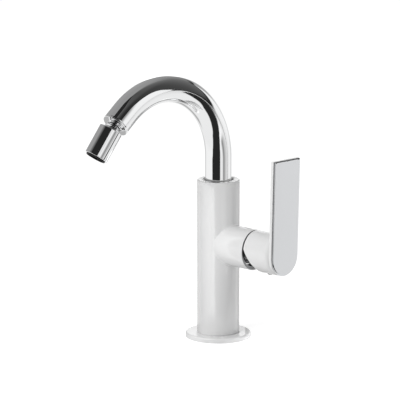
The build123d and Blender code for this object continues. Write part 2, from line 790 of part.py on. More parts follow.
# Cartridge nut: threaded ring that clamps the housing's shoulder, with spanner notches
with BuildPart() as cartridge_nut:
    with BuildSketch(branch_plane(nut_start)):
        Circle(nut_thread_radius - turning_clearance)
        Circle(housing_neck_radius + free_gap, mode=Mode.SUBTRACT)
    extrude(amount=nut_height)
    with BuildSketch(branch_plane(nut_end)):
        with PolarLocations(housing_neck_radius, nut_slot_count):
            Rectangle(2 * nut_slot_depth, nut_slot_width)
    extrude(amount=-nut_slot_depth, mode=Mode.SUBTRACT)
cartridge_nut.part.label = "cartridge_nut"
export_step(cartridge_nut.part, "parts/cartridge_nut.step")

# Cartridge cover: bright cap over the cartridge's neck, seen in the gap below the lever's hub
with BuildPart() as cartridge_cover:
    with BuildSketch(branch_plane(nut_end)):
        Circle(nut_thread_radius - turning_clearance)
    extrude(amount=cover_flange_thickness)
    with BuildSketch(branch_plane(nut_end)):
        Circle(cover_radius)
    extrude(amount=cover_top - nut_end)
    fillet(cartridge_cover.edges().filter_by(GeomType.CIRCLE).sort_by(Axis.X)[-1], cover_edge)
    with BuildSketch(branch_plane(nut_end)):
        Circle(cover_radius - cover_wall)
    extrude(amount=cover_top - cover_wall - nut_end, mode=Mode.SUBTRACT)
    with BuildSketch(branch_plane(nut_end)):
        Circle(cover_mouth_radius)
    extrude(amount=cover_top - nut_end, mode=Mode.SUBTRACT)
cartridge_cover.part.label = "cartridge_cover"
export_step(cartridge_cover.part, "parts/cartridge_cover.step")

# Lever stem: ball end, pivot boss, neck and the square that the hub is clamped on
with BuildPart() as lever_stem:
    with BuildSketch(lathe_plane(branch_plane(stem_ball_depth).origin, along_x, along_y)):
        with BuildLine():
            ball_end = CenterArc((0, 0), stem_ball_radius, -90, 180)
            Line(ball_end @ 1, ball_end @ 0)
        make_face()
    revolve(axis=Axis(branch_plane(stem_ball_depth).origin, along_x))
    with BuildSketch(branch_plane(stem_ball_depth)):
        Circle(stem_neck_radius)
    extrude(amount=lever_arm)
    with BuildSketch(pin_plane):
        Circle(stem_boss_radius)
    extrude(amount=stem_width / 2, both=True)
    with BuildSketch(branch_plane(pivot_depth)):
        Rectangle(stem_width, stem_depth)
    extrude(amount=stem_shank_end)
    with BuildSketch(branch_plane(pivot_depth + stem_shank_end)):
        Rectangle(stem_square, stem_square)
    extrude(amount=stem_end - pivot_depth - stem_shank_end)
    chamfer(lever_stem.faces().sort_by(Axis.X)[-1].edges(), fine_edge)
    with BuildSketch(pin_plane):
        Circle(pivot_pin_radius + turning_clearance)
    extrude(amount=stem_width, both=True, mode=Mode.SUBTRACT)
lever_stem.part.label = "lever_stem"
export_step(lever_stem.part, "parts/lever_stem.step")

# Lever face plane: upright, leaning a little outward at its top
lean = radians(paddle_lean)
face_plane = Plane(
    origin=(paddle_face_reach, 0, branch_height),
    x_dir=along_y,
    z_dir=Vector(cos(lean), 0, -sin(lean)),
)
plate_back = face_plane.offset(-plate_thickness)
paddle_back = plate_back.offset(-paddle_thickness)

# Paddle outline: straight sides, small corners at the top and a half-oval foot
with BuildSketch(Plane.XY) as paddle_outline:
    Rectangle(2 * paddle_half_width, paddle_rise, align=(Align.CENTER, Align.MIN))
    fillet(paddle_outline.vertices().group_by(Axis.Y)[-1], paddle_corner)
    Ellipse(paddle_half_width, paddle_foot)

# Lever handle: hub with its hollow and bevelled rim, and the paddle, in one casting
bevel_top = branch_height + hub_bevel_start
bevel_foot = branch_height - branch_half_height - cut_overrun
bevel_run = (bevel_top - bevel_foot) * tan(radians(hub_bevel_angle))
bevel_corners = [
    (hub_rim, bevel_top),
    (hub_rim, bevel_foot),
    (hub_rim + bevel_run, bevel_foot),
]
set_screw_plane = Plane(
    origin=(set_screw_place, 0, branch_height), x_dir=along_x, z_dir=-along_z
)
with BuildPart() as lever_handle:
    with BuildSketch(branch_plane(hub_depth)):
        Ellipse(branch_half_width, branch_half_height)
    with BuildSketch(paddle_back):
        Ellipse(paddle_half_width, paddle_foot)
    loft()
    with BuildSketch(paddle_back):
        add(paddle_outline.sketch)
    extrude(amount=paddle_thickness)
    with BuildSketch(Plane.XZ):
        Polygon(bevel_corners, align=None)
    extrude(amount=2 * branch_half_width, both=True, mode=Mode.SUBTRACT)
    with BuildSketch(branch_plane(hub_depth)):
        Ellipse(branch_half_width - hub_wall, branch_half_height - hub_wall)
    extrude(amount=hub_cavity_depth, mode=Mode.SUBTRACT)
    with BuildSketch(branch_plane(cavity_end)):
        Rectangle(stem_square + fitted_gap, stem_square + fitted_gap)
    extrude(amount=stem_grip_length + free_gap, mode=Mode.SUBTRACT)
    with BuildSketch(set_screw_plane):
        Circle(set_screw_radius)
    extrude(amount=branch_half_height + cut_overrun, mode=Mode.SUBTRACT)
lever_handle.part.label = "lever_handle"
export_step(lever_handle.part, "parts/lever_handle.step")

# Lever face plate: the bright plate on the outside of the paddle
with BuildPart() as lever_face_plate:
    with BuildSketch(plate_back):
        add(paddle_outline.sketch)
    extrude(amount=plate_thickness)
lever_face_plate.part.label = "lever_face_plate"
export_step(lever_face_plate.part, "parts/lever_face_plate.step")

# Lever grub screw: clamps the hub on the stem's square, from below
with BuildPart() as lever_grub_screw:
    with BuildSketch(set_screw_plane.offset(stem_square / 2)):
        Circle(set_screw_radius - turning_clearance)
    extrude(amount=set_screw_length)
    with BuildSketch(set_screw_plane.offset(stem_square / 2 + set_screw_length)):
        RegularPolygon(set_screw_radius * hex_socket_share, 6)
    extrude(amount=-set_screw_length * hex_depth_share, mode=Mode.SUBTRACT)
lever_grub_screw.part.label = "lever_grub_screw"
export_step(lever_grub_screw.part, "parts/lever_grub_screw.step")

# Screw plug: small dark stopper over the grub screw
with BuildPart() as screw_plug:
    with BuildSketch(set_screw_plane.offset(branch_half_height - plug_length)):
        Circle(set_screw_radius - turning_clearance)
    extrude(amount=plug_length)
screw_plug.part.label = "screw_plug"
export_step(screw_plug.part, "parts/screw_plug.step")
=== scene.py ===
# %% [markdown]
# Bidet mixer, dressed for a studio photograph.
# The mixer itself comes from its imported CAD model. This lesson loads that model as a fixed
# frame, sets up the camera, makes the smooth bright pieces again as fine surfaces, gives every
# piece its finish, and builds the small studio round it.
# Everything is in metres, +Z is up, the spout points along -Y and the lever's branch along +X.
# Sizes are written in millimetres, as a drawing gives them, and turned into metres by MM.

import json
import math

import bmesh
import bpy
import numpy as np
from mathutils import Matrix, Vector


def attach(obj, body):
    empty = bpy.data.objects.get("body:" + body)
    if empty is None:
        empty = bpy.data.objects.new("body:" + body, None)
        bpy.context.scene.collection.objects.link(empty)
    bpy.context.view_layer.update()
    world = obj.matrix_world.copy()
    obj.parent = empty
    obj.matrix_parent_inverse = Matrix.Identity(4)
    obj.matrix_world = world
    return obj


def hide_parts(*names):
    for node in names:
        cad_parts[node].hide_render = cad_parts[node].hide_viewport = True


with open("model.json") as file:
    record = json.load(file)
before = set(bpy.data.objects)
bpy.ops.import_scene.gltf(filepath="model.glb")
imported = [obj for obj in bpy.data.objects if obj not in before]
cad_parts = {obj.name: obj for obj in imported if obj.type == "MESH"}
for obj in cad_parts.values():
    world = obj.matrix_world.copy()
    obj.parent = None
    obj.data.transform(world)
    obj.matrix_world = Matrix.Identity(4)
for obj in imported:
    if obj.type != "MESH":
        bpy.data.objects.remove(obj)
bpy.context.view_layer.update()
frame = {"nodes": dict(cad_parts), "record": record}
MM = 0.001
MICRON = 0.001 * MM

# %% [markdown]
# Camera, lamp and studio are all placed by directions. A direction is an azimuth, which is 0
# on the spout's side and 90 on the lever's, and an elevation above the horizon, in degrees.

# %% Directions and new objects
def direction(azimuth, elevation):
    """Unit vector towards an azimuth and an elevation.

    Its parts are sin(azimuth) * cos(elevation), -cos(azimuth) * cos(elevation) and
    sin(elevation).
    """
    around, above = math.radians(azimuth), math.radians(elevation)
    return Vector((
        math.sin(around) * math.cos(above), -math.cos(around) * math.cos(above), math.sin(above)
    ))


def placed(name, data):
    """Puts a mesh, a lamp or a camera into the scene as an object at the origin."""
    thing = bpy.data.objects.new(name, data)
    bpy.context.collection.objects.link(thing)
    return thing


print("azimuth 90 is", [round(part, 3) for part in direction(90.0, 0.0)])

# %% [markdown]
# The photograph was taken from a little above and well off to one side, with a long lens.
# A camera is placed by two angles, a distance and a small sideways offset, because its lens
# axis passes beside the mixer's foot and not through it. The lens follows from how many pixels
# a metre of the mixer takes up in the photograph.

# %% Camera
CAMERA_AZIMUTH = 46.0
CAMERA_ELEVATION = 11.8
CAMERA_DISTANCE = 2.406
CAMERA_RIGHT = -0.0150
CAMERA_UP = 0.11204
IMAGE_SIDE = 400
PIXELS_PER_METRE = 1209.6

back = direction(CAMERA_AZIMUTH, CAMERA_ELEVATION)
right = direction(CAMERA_AZIMUTH + 90.0, 0.0)
up = back.cross(right)

camera_data = bpy.data.cameras.new("camera")
camera_data.sensor_width = 36.0
camera_data.lens = PIXELS_PER_METRE * CAMERA_DISTANCE * camera_data.sensor_width / IMAGE_SIDE
camera_data.clip_end = 20.0
camera = placed("camera", camera_data)
camera.rotation_mode = "QUATERNION"
camera.rotation_quaternion = (-back).to_track_quat("-Z", "Y")
camera.location = back * CAMERA_DISTANCE + right * CAMERA_RIGHT + up * CAMERA_UP
bpy.context.scene.camera = camera
print("lens", round(camera_data.lens, 1), "mm")

# %% [markdown]
# Materials are small machines of nodes. Two tools keep them readable.
# A Signal wraps one output of a node and takes part in sums, so 0.3 + 0.1 * mottle is written
# as it is said, and adds its own Math nodes.
# A Finish holds one tree of nodes, and its add method makes any other node from its type, its
# settings and what goes into its sockets. It serves every material and the white world too.

# %% Signals
class Signal:
    """One output of a node, as a number that can be added, subtracted and multiplied."""

    def __init__(self, finish, socket):
        self.finish = finish
        self.socket = socket

    def __add__(self, other):
        return self.finish.calculate("ADD", self, other)

    def __sub__(self, other):
        return self.finish.calculate("SUBTRACT", self, other)

    def __rsub__(self, other):
        return self.finish.calculate("SUBTRACT", other, self)

    def __mul__(self, other):
        return self.finish.calculate("MULTIPLY", self, other)

    __radd__ = __add__
    __rmul__ = __mul__

    def step(self, low, high, shape="SMOOTHSTEP"):
        """Rises from 0 at low to 1 at high, smoothly or, with the shape LINEAR, evenly."""
        sockets = {"Value": self, "From Min": low, "From Max": high}
        return self.finish.add("ShaderNodeMapRange", {"interpolation_type": shape}, sockets)

    def band(self, rise_from, rise_to, fall_from, fall_to):
        """Rises from 0 to 1 between the first two numbers, and falls between the last two."""
        return self.step(rise_from, rise_to) * (1.0 - self.step(fall_from, fall_to))

    def along(self, *corners):
        """Follows a bent line through corners of (this number, result), level past both ends."""
        level = corners[0][1]
        for (low, before), (high, after) in zip(corners[:-1], corners[1:]):
            level = self.step(low, high, "LINEAR") * (after - before) + level
        return level

    def towards(self, goal, share):
        """This number moved towards a goal by a share of the way, from 0 to 1."""
        return self + share * (goal - self)


# %% Finishes
DEGREES = 180.0 / math.pi


class Finish:
    """A material, or a world, with an empty node tree that is built up by add."""

    def __init__(self, name, kind="materials"):
        self.owner = getattr(bpy.data, kind).new(name)
        self.owner.use_nodes = True
        self.tree = self.owner.node_tree
        self.tree.nodes.clear()

    def add(self, kind, settings=None, sockets=None, output=0):
        """Adds a node, sets its settings, then its sockets, and returns one of its outputs."""
        node = self.tree.nodes.new(kind)
        for key, value in (settings or {}).items():
            setattr(node, key, value)
        for key, value in (sockets or {}).items():
            if isinstance(value, Signal):
                self.tree.links.new(value.socket, node.inputs[key])
            else:
                node.inputs[key].default_value = value
        return Signal(self, node.outputs[output])

    def calculate(self, operation, *values):
        """A Math node's operation on signals and plain numbers."""
        return self.add("ShaderNodeMath", {"operation": operation}, dict(enumerate(values)))

    def place(self):
        """Object coordinates: the point on the piece, in metres."""
        return self.add("ShaderNodeTexCoord", output="Object")

    def point(self):
        """The three parts of the place, each as a number."""
        sockets = {"Vector": self.place()}
        return [self.add("ShaderNodeSeparateXYZ", sockets=sockets, output=k) for k in range(3)]

    def azimuth(self, x, y):
        """Azimuth of a point in degrees: the angle whose tangent is x over -y."""
        return self.calculate("ARCTAN2", x, 0.0 - y) * DEGREES

    def noise(self, size, detail, stretch=(1.0, 1.0, 1.0)):
        """Cloudy noise from 0 to 1. A blotch is about size metres across, half a noise cell."""
        scaled = self.add("ShaderNodeMapping", sockets={"Vector": self.place(), "Scale": stretch})
        sockets = {"Vector": scaled, "Scale": 0.5 / size, "Detail": detail}
        return self.add("ShaderNodeTexNoise", sockets=sockets)

    def blend(self, factor, first, second):
        """A colour between two colours. A Mix node's colour sockets are 6, 7 and output 2."""
        settings = {"data_type": "RGBA"}
        return self.add("ShaderNodeMix", settings, {0: factor, 6: first, 7: second}, output=2)

    def bump(self, height, depth):
        """A normal tipped by a height signal, whose full swing is depth metres."""
        return self.add("ShaderNodeBump", sockets={"Height": height, "Distance": depth})

    def surface(self, **sockets):
        """Ends the material in one Principled shader."""
        named = {name.replace("_", " "): value for name, value in sockets.items()}
        return self.end(self.add("ShaderNodeBsdfPrincipled", sockets=named))

    def light(self, strength):
        """Ends the material in white light. A strength of 1 is white."""
        sockets = {"Color": grey(1.0), "Strength": strength}
        return self.end(self.add("ShaderNodeEmission", sockets=sockets))

    def end(self, shader, ending="ShaderNodeOutputMaterial"):
        """Joins the last shader to the output and returns the finished material or world."""
        output = self.tree.nodes.new(ending)
        self.tree.links.new(shader.socket, output.inputs["Surface"])
        print("finish", self.owner.name, "nodes", len(self.tree.nodes))
        return self.owner


def grey(value, warmth=0.0):
    """A grey colour, from 0 to 1 in linear light, a touch warmer or cooler."""
    return (value * (1.0 + warmth), value, value * (1.0 - warmth), 1.0)


finishes = {}
print("finish tools ready")

# %% [markdown]
# The column, flange, branch and lever are brass castings under a satin white lacquer. Such a
# lacquer is sprayed and baked: it levels into a skin with a very faint orange peel, its white
# is a little cool, and its gloss varies slightly where the spray lay thicker.
# A clear coat over a softer base gives the crisp edge of the reflections on a satin body.

# %% White lacquer
def white_lacquer():
    finish = Finish("white_lacquer")
    cloud = finish.noise(30 * MM, detail=3.0)
    peel = finish.noise(1.1 * MM, detail=1.0)
    return finish.surface(
        Base_Color=finish.blend(cloud, grey(0.775, -0.004), grey(0.805, 0.002)),
        Roughness=0.40 + 0.08 * cloud,
        Normal=finish.bump(peel, 4 * MICRON),
        Coat_Weight=0.9,
        Coat_Roughness=0.03,
    )


finishes["white_lacquer"] = white_lacquer()

# %% [markdown]
# The spout, its end ring, the jet and the cap over the cartridge are polished and chrome
# plated. Chrome is a mirror with a slightly cool tint. Polishing leaves the faintest waviness,
# and handling leaves a haze that changes over centimetres, so its sharpness isn't the same
# everywhere.

# %% Bright chrome
def bright_chrome():
    finish = Finish("bright_chrome")
    haze = finish.noise(20 * MM, detail=3.0)
    wave = finish.noise(12 * MM, detail=0.0)
    return finish.surface(
        Base_Color=finish.blend(haze, (0.865, 0.87, 0.875, 1.0), (0.90, 0.902, 0.905, 1.0)),
        Metallic=1.0,
        Roughness=0.025 + 0.03 * haze,
        Normal=finish.bump(wave, 10 * MICRON),
    )


finishes["bright_chrome"] = bright_chrome()

# %% [markdown]
# The lever's face is a separate plate, polished flat and chromed. It is kept apart from the
# other chrome because its tone is greyer and its polish runs up and down the plate.

# %% Face chrome
def face_chrome():
    finish = Finish("face_chrome")
    haze = finish.noise(30 * MM, detail=2.0)
    polish = finish.noise(0.6 * MM, detail=2.0, stretch=(1.0, 1.0, 0.04))
    return finish.surface(
        Base_Color=finish.blend(haze, (0.75, 0.76, 0.775, 1.0), (0.785, 0.795, 0.81, 1.0)),
        Metallic=1.0,
        Roughness=0.06 + 0.04 * polish,
        Normal=finish.bump(polish, 1.5 * MICRON),
    )


finishes["face_chrome"] = face_chrome()

# %% [markdown]
# Inside are turned brass, plain steel, moulded plastics, lapped ceramic and rubber. Turning
# leaves fine rings, moulding a soft grain, lapping an even matt white, and rubber a dull skin
# with a trace of grease. One function makes the metals and one all that is moulded or lapped.

# %% Metals inside
def turned_metal(name, dark, light, roughness):
    finish = Finish(name)
    stain = finish.noise(8 * MM, detail=4.0)
    rings = finish.noise(0.4 * MM, detail=1.0, stretch=(0.2, 1.0, 1.0))
    return finish.surface(
        Base_Color=finish.blend(stain, dark, light),
        Metallic=1.0,
        Roughness=roughness + 0.12 * rings,
        Normal=finish.bump(rings, 4 * MICRON),
    )


BRASS = (0.50, 0.36, 0.15, 1.0), (0.68, 0.52, 0.26, 1.0)
STEEL = (0.42, 0.42, 0.43, 1.0), (0.58, 0.58, 0.59, 1.0)
finishes["brass"] = turned_metal("brass", *BRASS, 0.22)
finishes["steel"] = turned_metal("steel", *STEEL, 0.28)

# %% Plastics, ceramic and rubber
def moulded(name, dark, light, roughness, grain_depth, specular=0.5):
    finish = Finish(name)
    cloud = finish.noise(6 * MM, detail=3.0)
    grain = finish.noise(0.5 * MM, detail=2.0)
    return finish.surface(
        Base_Color=finish.blend(cloud, dark, light),
        Roughness=roughness + 0.08 * cloud,
        Normal=finish.bump(grain, grain_depth * MICRON),
        Specular_IOR_Level=specular,
    )


# Name, dark and light tone, roughness, depth of the grain in microns, and specular level.
for moulding in (
    ("black_plastic", grey(0.006), grey(0.012), 0.42, 10, 0.3),
    ("white_plastic", grey(0.62), grey(0.70, 0.01), 0.5, 10),
    ("cartridge_plastic", grey(0.60, 0.01), grey(0.68, 0.015), 0.3, 6),
    ("rotor_plastic", (0.02, 0.03, 0.07, 1.0), (0.035, 0.05, 0.10, 1.0), 0.3, 6),
    ("disc_ceramic", grey(0.74, 0.015), grey(0.80, 0.01), 0.2, 1),
    ("rubber", grey(0.008), grey(0.014), 0.6, 14, 0.35),
):
    finishes[moulding[0]] = moulded(*moulding)

# %% [markdown]
# Every CAD node names a material slot in the record, so one table from slot to finish dresses
# all nodes, seen or not.

# %% Dress the CAD nodes
slot_of = {part["node"]: part["material_slot"] for part in frame["record"]["subparts"]}
for node_name, node in frame["nodes"].items():
    node.data.materials.clear()
    node.data.materials.append(finishes[slot_of[node_name]])
print("dressed", len(frame["nodes"]), "nodes with", len(finishes), "finishes")

# %% [markdown]
# The CAD meshes are cut into triangles fine enough for building, but a mirror shows each one.
# The bright pieces are therefore made again as fine grids of points: a profile is carried round
# an axis or along a path, worked out as whole arrays, and the grid becomes a mesh of quads.
# Corners of a real turned part are never sharp, so an outline's corners are rounded first.

# %% Rounded outlines
def rounded(corners, steps=6, support=1.25):
    """Points of a closed outline whose corners are rounded.

    Each corner is (x, y, radius). Its arc leaves one side and meets the other at a distance of
    radius over the tangent of half the corner's angle. One more point stands on each side, at
    support times that distance, so that the flats stay flat when the surface is shaded smooth.
    """
    xy = np.array([corner[:2] for corner in corners], float)
    radii = np.array([corner[2] for corner in corners], float)
    points = []
    for here, before, after, radius in zip(xy, np.roll(xy, 1, 0), np.roll(xy, -1, 0), radii):
        to_before = (before - here) / np.linalg.norm(before - here)
        to_after = (after - here) / np.linalg.norm(after - here)
        half = math.acos(np.clip(to_before @ to_after, -1.0, 1.0)) / 2
        reach = radius / math.tan(half)
        middle = to_before + to_after
        centre = here + middle / np.linalg.norm(middle) * radius / math.sin(half)
        start = here + to_before * reach - centre
        end = here + to_after * reach - centre
        share = np.linspace(0.0, 1.0, steps + 1)[:, None]
        sweep = math.pi - 2 * half
        spread = start * np.sin((1 - share) * sweep) + end * np.sin(share * sweep)
        arc = centre + spread / math.sin(sweep)
        points += [
            here + to_before * reach * support, *arc, here + to_after * reach * support
        ]
    return np.array(points)


trial = rounded([(0.0, 0.0, 1.0), (4.0, 0.0, 1.0), (4.0, 4.0, 1.0), (0.0, 4.0, 1.0)])
print("a rounded square has", len(trial), "points, from", trial.min(0), "to", trial.max(0))

# %% Grids to meshes
def signed_volume(points, quads):
    """Volume inside a closed mesh of quads, negative where the faces point inwards.

    It is a sixth of the sum, over both triangles of each quad, of the corners' triple product.
    """
    a, b, c, d = (points[quads[:, k]] for k in range(4))
    first = np.einsum("ij,ij->i", a, np.cross(b, c))
    second = np.einsum("ij,ij->i", a, np.cross(c, d))
    return (first + second).sum() / 6


def grid_piece(name, points, body, nodes, finish, closed_along=True):
    """Makes a piece from a grid of points in millimetres: rows along it, columns round it.

    The columns always close into rings. Rows close too unless closed_along is off. The faces
    are turned over if the volume inside them comes out negative.
    """
    points = np.asarray(points, float) * MM
    rows, columns = points.shape[:2]
    index = np.arange(rows * columns).reshape(rows, columns)
    index = np.hstack([index, index[:, :1]])
    if closed_along:
        index = np.vstack([index, index[:1]])
    corners = [index[:-1, :-1], index[:-1, 1:], index[1:, 1:], index[1:, :-1]]
    quads = np.stack(corners, -1).reshape(-1, 4)
    flat = points.reshape(-1, 3)
    volume = signed_volume(flat, quads)
    if volume < 0:
        quads = quads[:, ::-1]
    mesh = bpy.data.meshes.new(name)
    mesh.vertices.add(len(flat))
    mesh.vertices.foreach_set("co", flat.ravel())
    mesh.loops.add(quads.size)
    mesh.loops.foreach_set("vertex_index", quads.ravel().astype(np.int32))
    mesh.polygons.add(len(quads))
    mesh.polygons.foreach_set("loop_start", np.arange(0, quads.size, 4, dtype=np.int32))
    mesh.update(calc_edges=True)
    mesh.shade_smooth()
    mesh.materials.append(finishes[finish])
    piece = placed(name, mesh)
    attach(piece, body)
    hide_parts(*nodes)
    print(name, "faces", len(quads), "volume", round(abs(volume) / MM ** 3), "mm3")
    return piece


# %% Turned surfaces
def full_turn(columns):
    """Angles of columns that are spread evenly round a full turn."""
    return np.linspace(0.0, 2 * math.pi, columns, endpoint=False)


def turned(outline, centre, axis, across, columns=128):
    """Grid of a turned surface.

    A point of the outline is (radius, height). It stands at centre + height * axis + radius *
    (cos(turn) * across + sin(turn) * sideways), where sideways is square to both.
    """
    axis, across = (np.asarray(v, float) / np.linalg.norm(v) for v in (axis, across))
    sideways = np.cross(axis, across)
    turn = full_turn(columns)
    round_it = np.cos(turn)[:, None] * across + np.sin(turn)[:, None] * sideways
    radius, height = outline[:, 0], outline[:, 1]
    return centre + height[:, None, None] * axis + radius[:, None, None] * round_it


trial = turned(trial, np.zeros(3), (0.0, 0.0, 1.0), (1.0, 0.0, 0.0))
print("turned, it is a grid of", trial.shape[0], "by", trial.shape[1], "points")

# %% [markdown]
# The base flange is a turned disc with a soft outer edge and a groove for the seal underneath.
# The drawing's corners are enough: the rounding and the turning do the rest.

# %% Base flange
upright = np.array([0.0, 0.0, 1.0])
sideways_x = np.array([1.0, 0.0, 0.0])
FLANGE_BORE = 14.1
FLANGE_RADIUS = 27.0
FLANGE_HEIGHT = 4.0
SEAL_INNER = 20.5
SEAL_OUTER = 23.5
SEAL_DEPTH = 1.6
flange_outline = rounded([
    (FLANGE_BORE, 0.0, 0.15), (FLANGE_BORE, FLANGE_HEIGHT, 0.15),
    (FLANGE_RADIUS, FLANGE_HEIGHT, 1.5), (FLANGE_RADIUS, 0.0, 0.25),
    (SEAL_OUTER, 0.0, 0.15), (SEAL_OUTER, SEAL_DEPTH, 0.15),
    (SEAL_INNER, SEAL_DEPTH, 0.15), (SEAL_INNER, 0.0, 0.15),
])
grid_piece(
    "base_flange_lacquered",
    turned(flange_outline, np.zeros(3), upright, sideways_x, columns=160),
    "mixer", ["base_flange"], "white_lacquer",
)

# %% [markdown]
# The spout is one tube: straight up, round a wide bend in the plane of the mixer, and a short
# straight end. A tube is a ring carried along a path. The ring's plane stays square to the
# path, and because the path lies in one plane the ring never twists.
# The wall is real: the grid runs up the outside, over the end and back down the bore.

# %% Spout path
TUBE_FOOT = 111.3
ARC_START = 150.6
BEND_RADIUS = 63.1
BEND_ANGLE = math.radians(129.15)
TIP_LENGTH = 13.1
BEND_START = ARC_START - TUBE_FOOT
BEND_END = BEND_START + BEND_RADIUS * BEND_ANGLE
SPOUT_LENGTH = BEND_END + TIP_LENGTH


def spout_frame(distance):
    """Place and direction on the spout's centre line at distances from its foot.

    Before the bend the path climbs. In the bend it turns by distance over radius, at most the
    bend's angle. After it, it runs straight on.
    """
    rise = np.minimum(distance, BEND_START)
    turn = np.clip((distance - rise) / BEND_RADIUS, 0.0, BEND_ANGLE)
    beyond = distance - rise - turn * BEND_RADIUS
    y = -BEND_RADIUS * (1 - np.cos(turn)) - np.sin(turn) * beyond
    z = TUBE_FOOT + rise + BEND_RADIUS * np.sin(turn) + np.cos(turn) * beyond
    place = np.stack([np.zeros_like(y), y, z], -1)
    ahead = np.stack([np.zeros_like(y), -np.sin(turn), np.cos(turn)], -1)
    return place, ahead


tip_place, tip_ahead = (v[0] for v in spout_frame(np.array([SPOUT_LENGTH])))
print("spout length", round(SPOUT_LENGTH, 1), "mm, end at", tip_place.round(2))

# %% Spout tube
TUBE_RADIUS = 11.0
TUBE_WALL = 1.5
END_EASE = 0.15
END_SUPPORT = 1.0
RISE_RINGS, BEND_RINGS, TIP_RINGS = 24, 150, 12
TUBE_COLUMNS = 144
outside = np.concatenate([
    [0.0, END_EASE, END_SUPPORT],
    np.linspace(2 * END_SUPPORT, BEND_START, RISE_RINGS, endpoint=False),
    np.linspace(BEND_START, BEND_END, BEND_RINGS, endpoint=False),
    np.linspace(BEND_END, SPOUT_LENGTH - END_SUPPORT, TIP_RINGS),
    [SPOUT_LENGTH - END_EASE, SPOUT_LENGTH],
])
stations = np.concatenate([outside, outside[::-1]])
ring_radius = np.repeat([TUBE_RADIUS, TUBE_RADIUS - TUBE_WALL], len(outside))
ring_radius[[0, len(outside) - 1]] -= END_EASE
ring_radius[[len(outside), -1]] += END_EASE
place, ahead = spout_frame(stations)
turn = full_turn(TUBE_COLUMNS)
outward = np.cross(ahead, sideways_x)
ring = (
    np.cos(turn)[None, :, None] * sideways_x + np.sin(turn)[None, :, None] * outward[:, None, :]
)
tube_points = place[:, None, :] + ring_radius[:, None, None] * ring
grid_piece("spout_tube_polished", tube_points, "spout", ["spout_tube"], "bright_chrome")

# %% [markdown]
# The thin ring at the spout's end is the lip of a collar that is brazed into the tube. The ball
# stem screws into it: a threaded shank, a short neck and the ball, with the waterway through
# all three. Both are turned about the line of the tube's end.

# %% End ring
END_RING_LIP = 1.2
COLLAR_DEPTH = 8.0
COLLAR_RADIUS = 9.45
COLLAR_BORE = 6.4
ring_outline = rounded([
    (COLLAR_BORE, -COLLAR_DEPTH, 0.15), (COLLAR_RADIUS, -COLLAR_DEPTH, 0.15),
    (COLLAR_RADIUS, 0.0, 0.05), (TUBE_RADIUS, 0.0, 0.2),
    (TUBE_RADIUS, END_RING_LIP, 0.4), (COLLAR_BORE, END_RING_LIP, 0.3),
])
grid_piece(
    "spout_end_ring_polished", turned(ring_outline, tip_place, tip_ahead, sideways_x),
    "spout", ["spout_end_collar"], "bright_chrome",
)

# %% Ball stem
BALL_RADIUS = 7.4
BALL_STANDOFF = 8.7
SHANK_RADIUS = 6.35
NECK_RADIUS = 4.6
NECK_START = 0.7
NECK_SUPPORT = 1.5
WATERWAY_RADIUS = 3.0
STEM_EASE = 0.15
BALL_STEPS = 60
ball_centre = tip_place + tip_ahead * BALL_STANDOFF
neck_angle = math.asin(NECK_RADIUS / BALL_RADIUS)
bore_angle = math.asin(WATERWAY_RADIUS / BALL_RADIUS)
ball_sweep = np.linspace(neck_angle, math.pi - bore_angle, BALL_STEPS)
ball_arc = np.stack([
    np.sin(ball_sweep) * BALL_RADIUS, BALL_STANDOFF - np.cos(ball_sweep) * BALL_RADIUS
], -1)
stem_corners = np.array([
    (WATERWAY_RADIUS, -COLLAR_DEPTH), (SHANK_RADIUS - STEM_EASE, -COLLAR_DEPTH),
    (SHANK_RADIUS, STEM_EASE - COLLAR_DEPTH), (SHANK_RADIUS, NECK_START - STEM_EASE),
    (SHANK_RADIUS - STEM_EASE, NECK_START), (NECK_RADIUS + STEM_EASE, NECK_START),
    (NECK_RADIUS, NECK_START + STEM_EASE), (NECK_RADIUS, NECK_SUPPORT),
])
stem_outline = np.concatenate([stem_corners, ball_arc])
grid_piece(
    "ball_stem_polished", turned(stem_outline, tip_place, tip_ahead, sideways_x),
    "spout", ["ball_stem"], "bright_chrome",
)

# %% [markdown]
# The jet swivels on the ball. In the photograph it hangs steeper than the spout's end and leans
# a little to one side, away from the lever. Its sleeve is a plain polished cylinder with a
# round-ended bore, and a dark aerator stands a little out of it.

# %% Jet direction
JET_FALL = BEND_ANGLE + math.radians(17.5)
JET_LEAN = math.radians(7.0)
fall = np.array([0.0, -math.sin(JET_FALL), math.cos(JET_FALL)])
jet_axis = fall * math.cos(JET_LEAN) - sideways_x * math.sin(JET_LEAN)
jet_across = sideways_x * math.cos(JET_LEAN) + fall * math.sin(JET_LEAN)
print("jet axis", jet_axis.round(4), "about", ball_centre.round(2))

# %% [markdown]
# The sleeve's bore ends in a round cup about the ball. The outline's last corner is only there
# to give its two neighbours their direction, and the cup's arc takes its place.

# %% Nozzle sleeve
SLEEVE_RADIUS = 9.6
SLEEVE_END = 22.0
CAVITY_RADIUS = 8.4
MOUTH_RISE = 2.8
MOUTH_LIP = 0.45
MOUTH_EASE = 0.05
CUP_STEPS = 14
sleeve_corners = [
    (CAVITY_RADIUS - MOUTH_LIP, -MOUTH_RISE, 0.12), (SLEEVE_RADIUS, -MOUTH_RISE, 0.5),
    (SLEEVE_RADIUS, SLEEVE_END, 0.4), (CAVITY_RADIUS, SLEEVE_END, 0.2),
    (CAVITY_RADIUS, 0.0, 0.1),
]
sleeve_points = rounded(sleeve_corners)
without_last = len(sleeve_points) * (len(sleeve_corners) - 1) // len(sleeve_corners)
mouth_angle = math.acos(MOUTH_RISE / CAVITY_RADIUS)
cup = np.linspace(math.pi / 2, mouth_angle + MOUTH_EASE, CUP_STEPS)
cup_arc = np.stack([np.sin(cup) * CAVITY_RADIUS, -np.cos(cup) * CAVITY_RADIUS], -1)
sleeve_outline = np.concatenate([sleeve_points[:without_last], cup_arc])
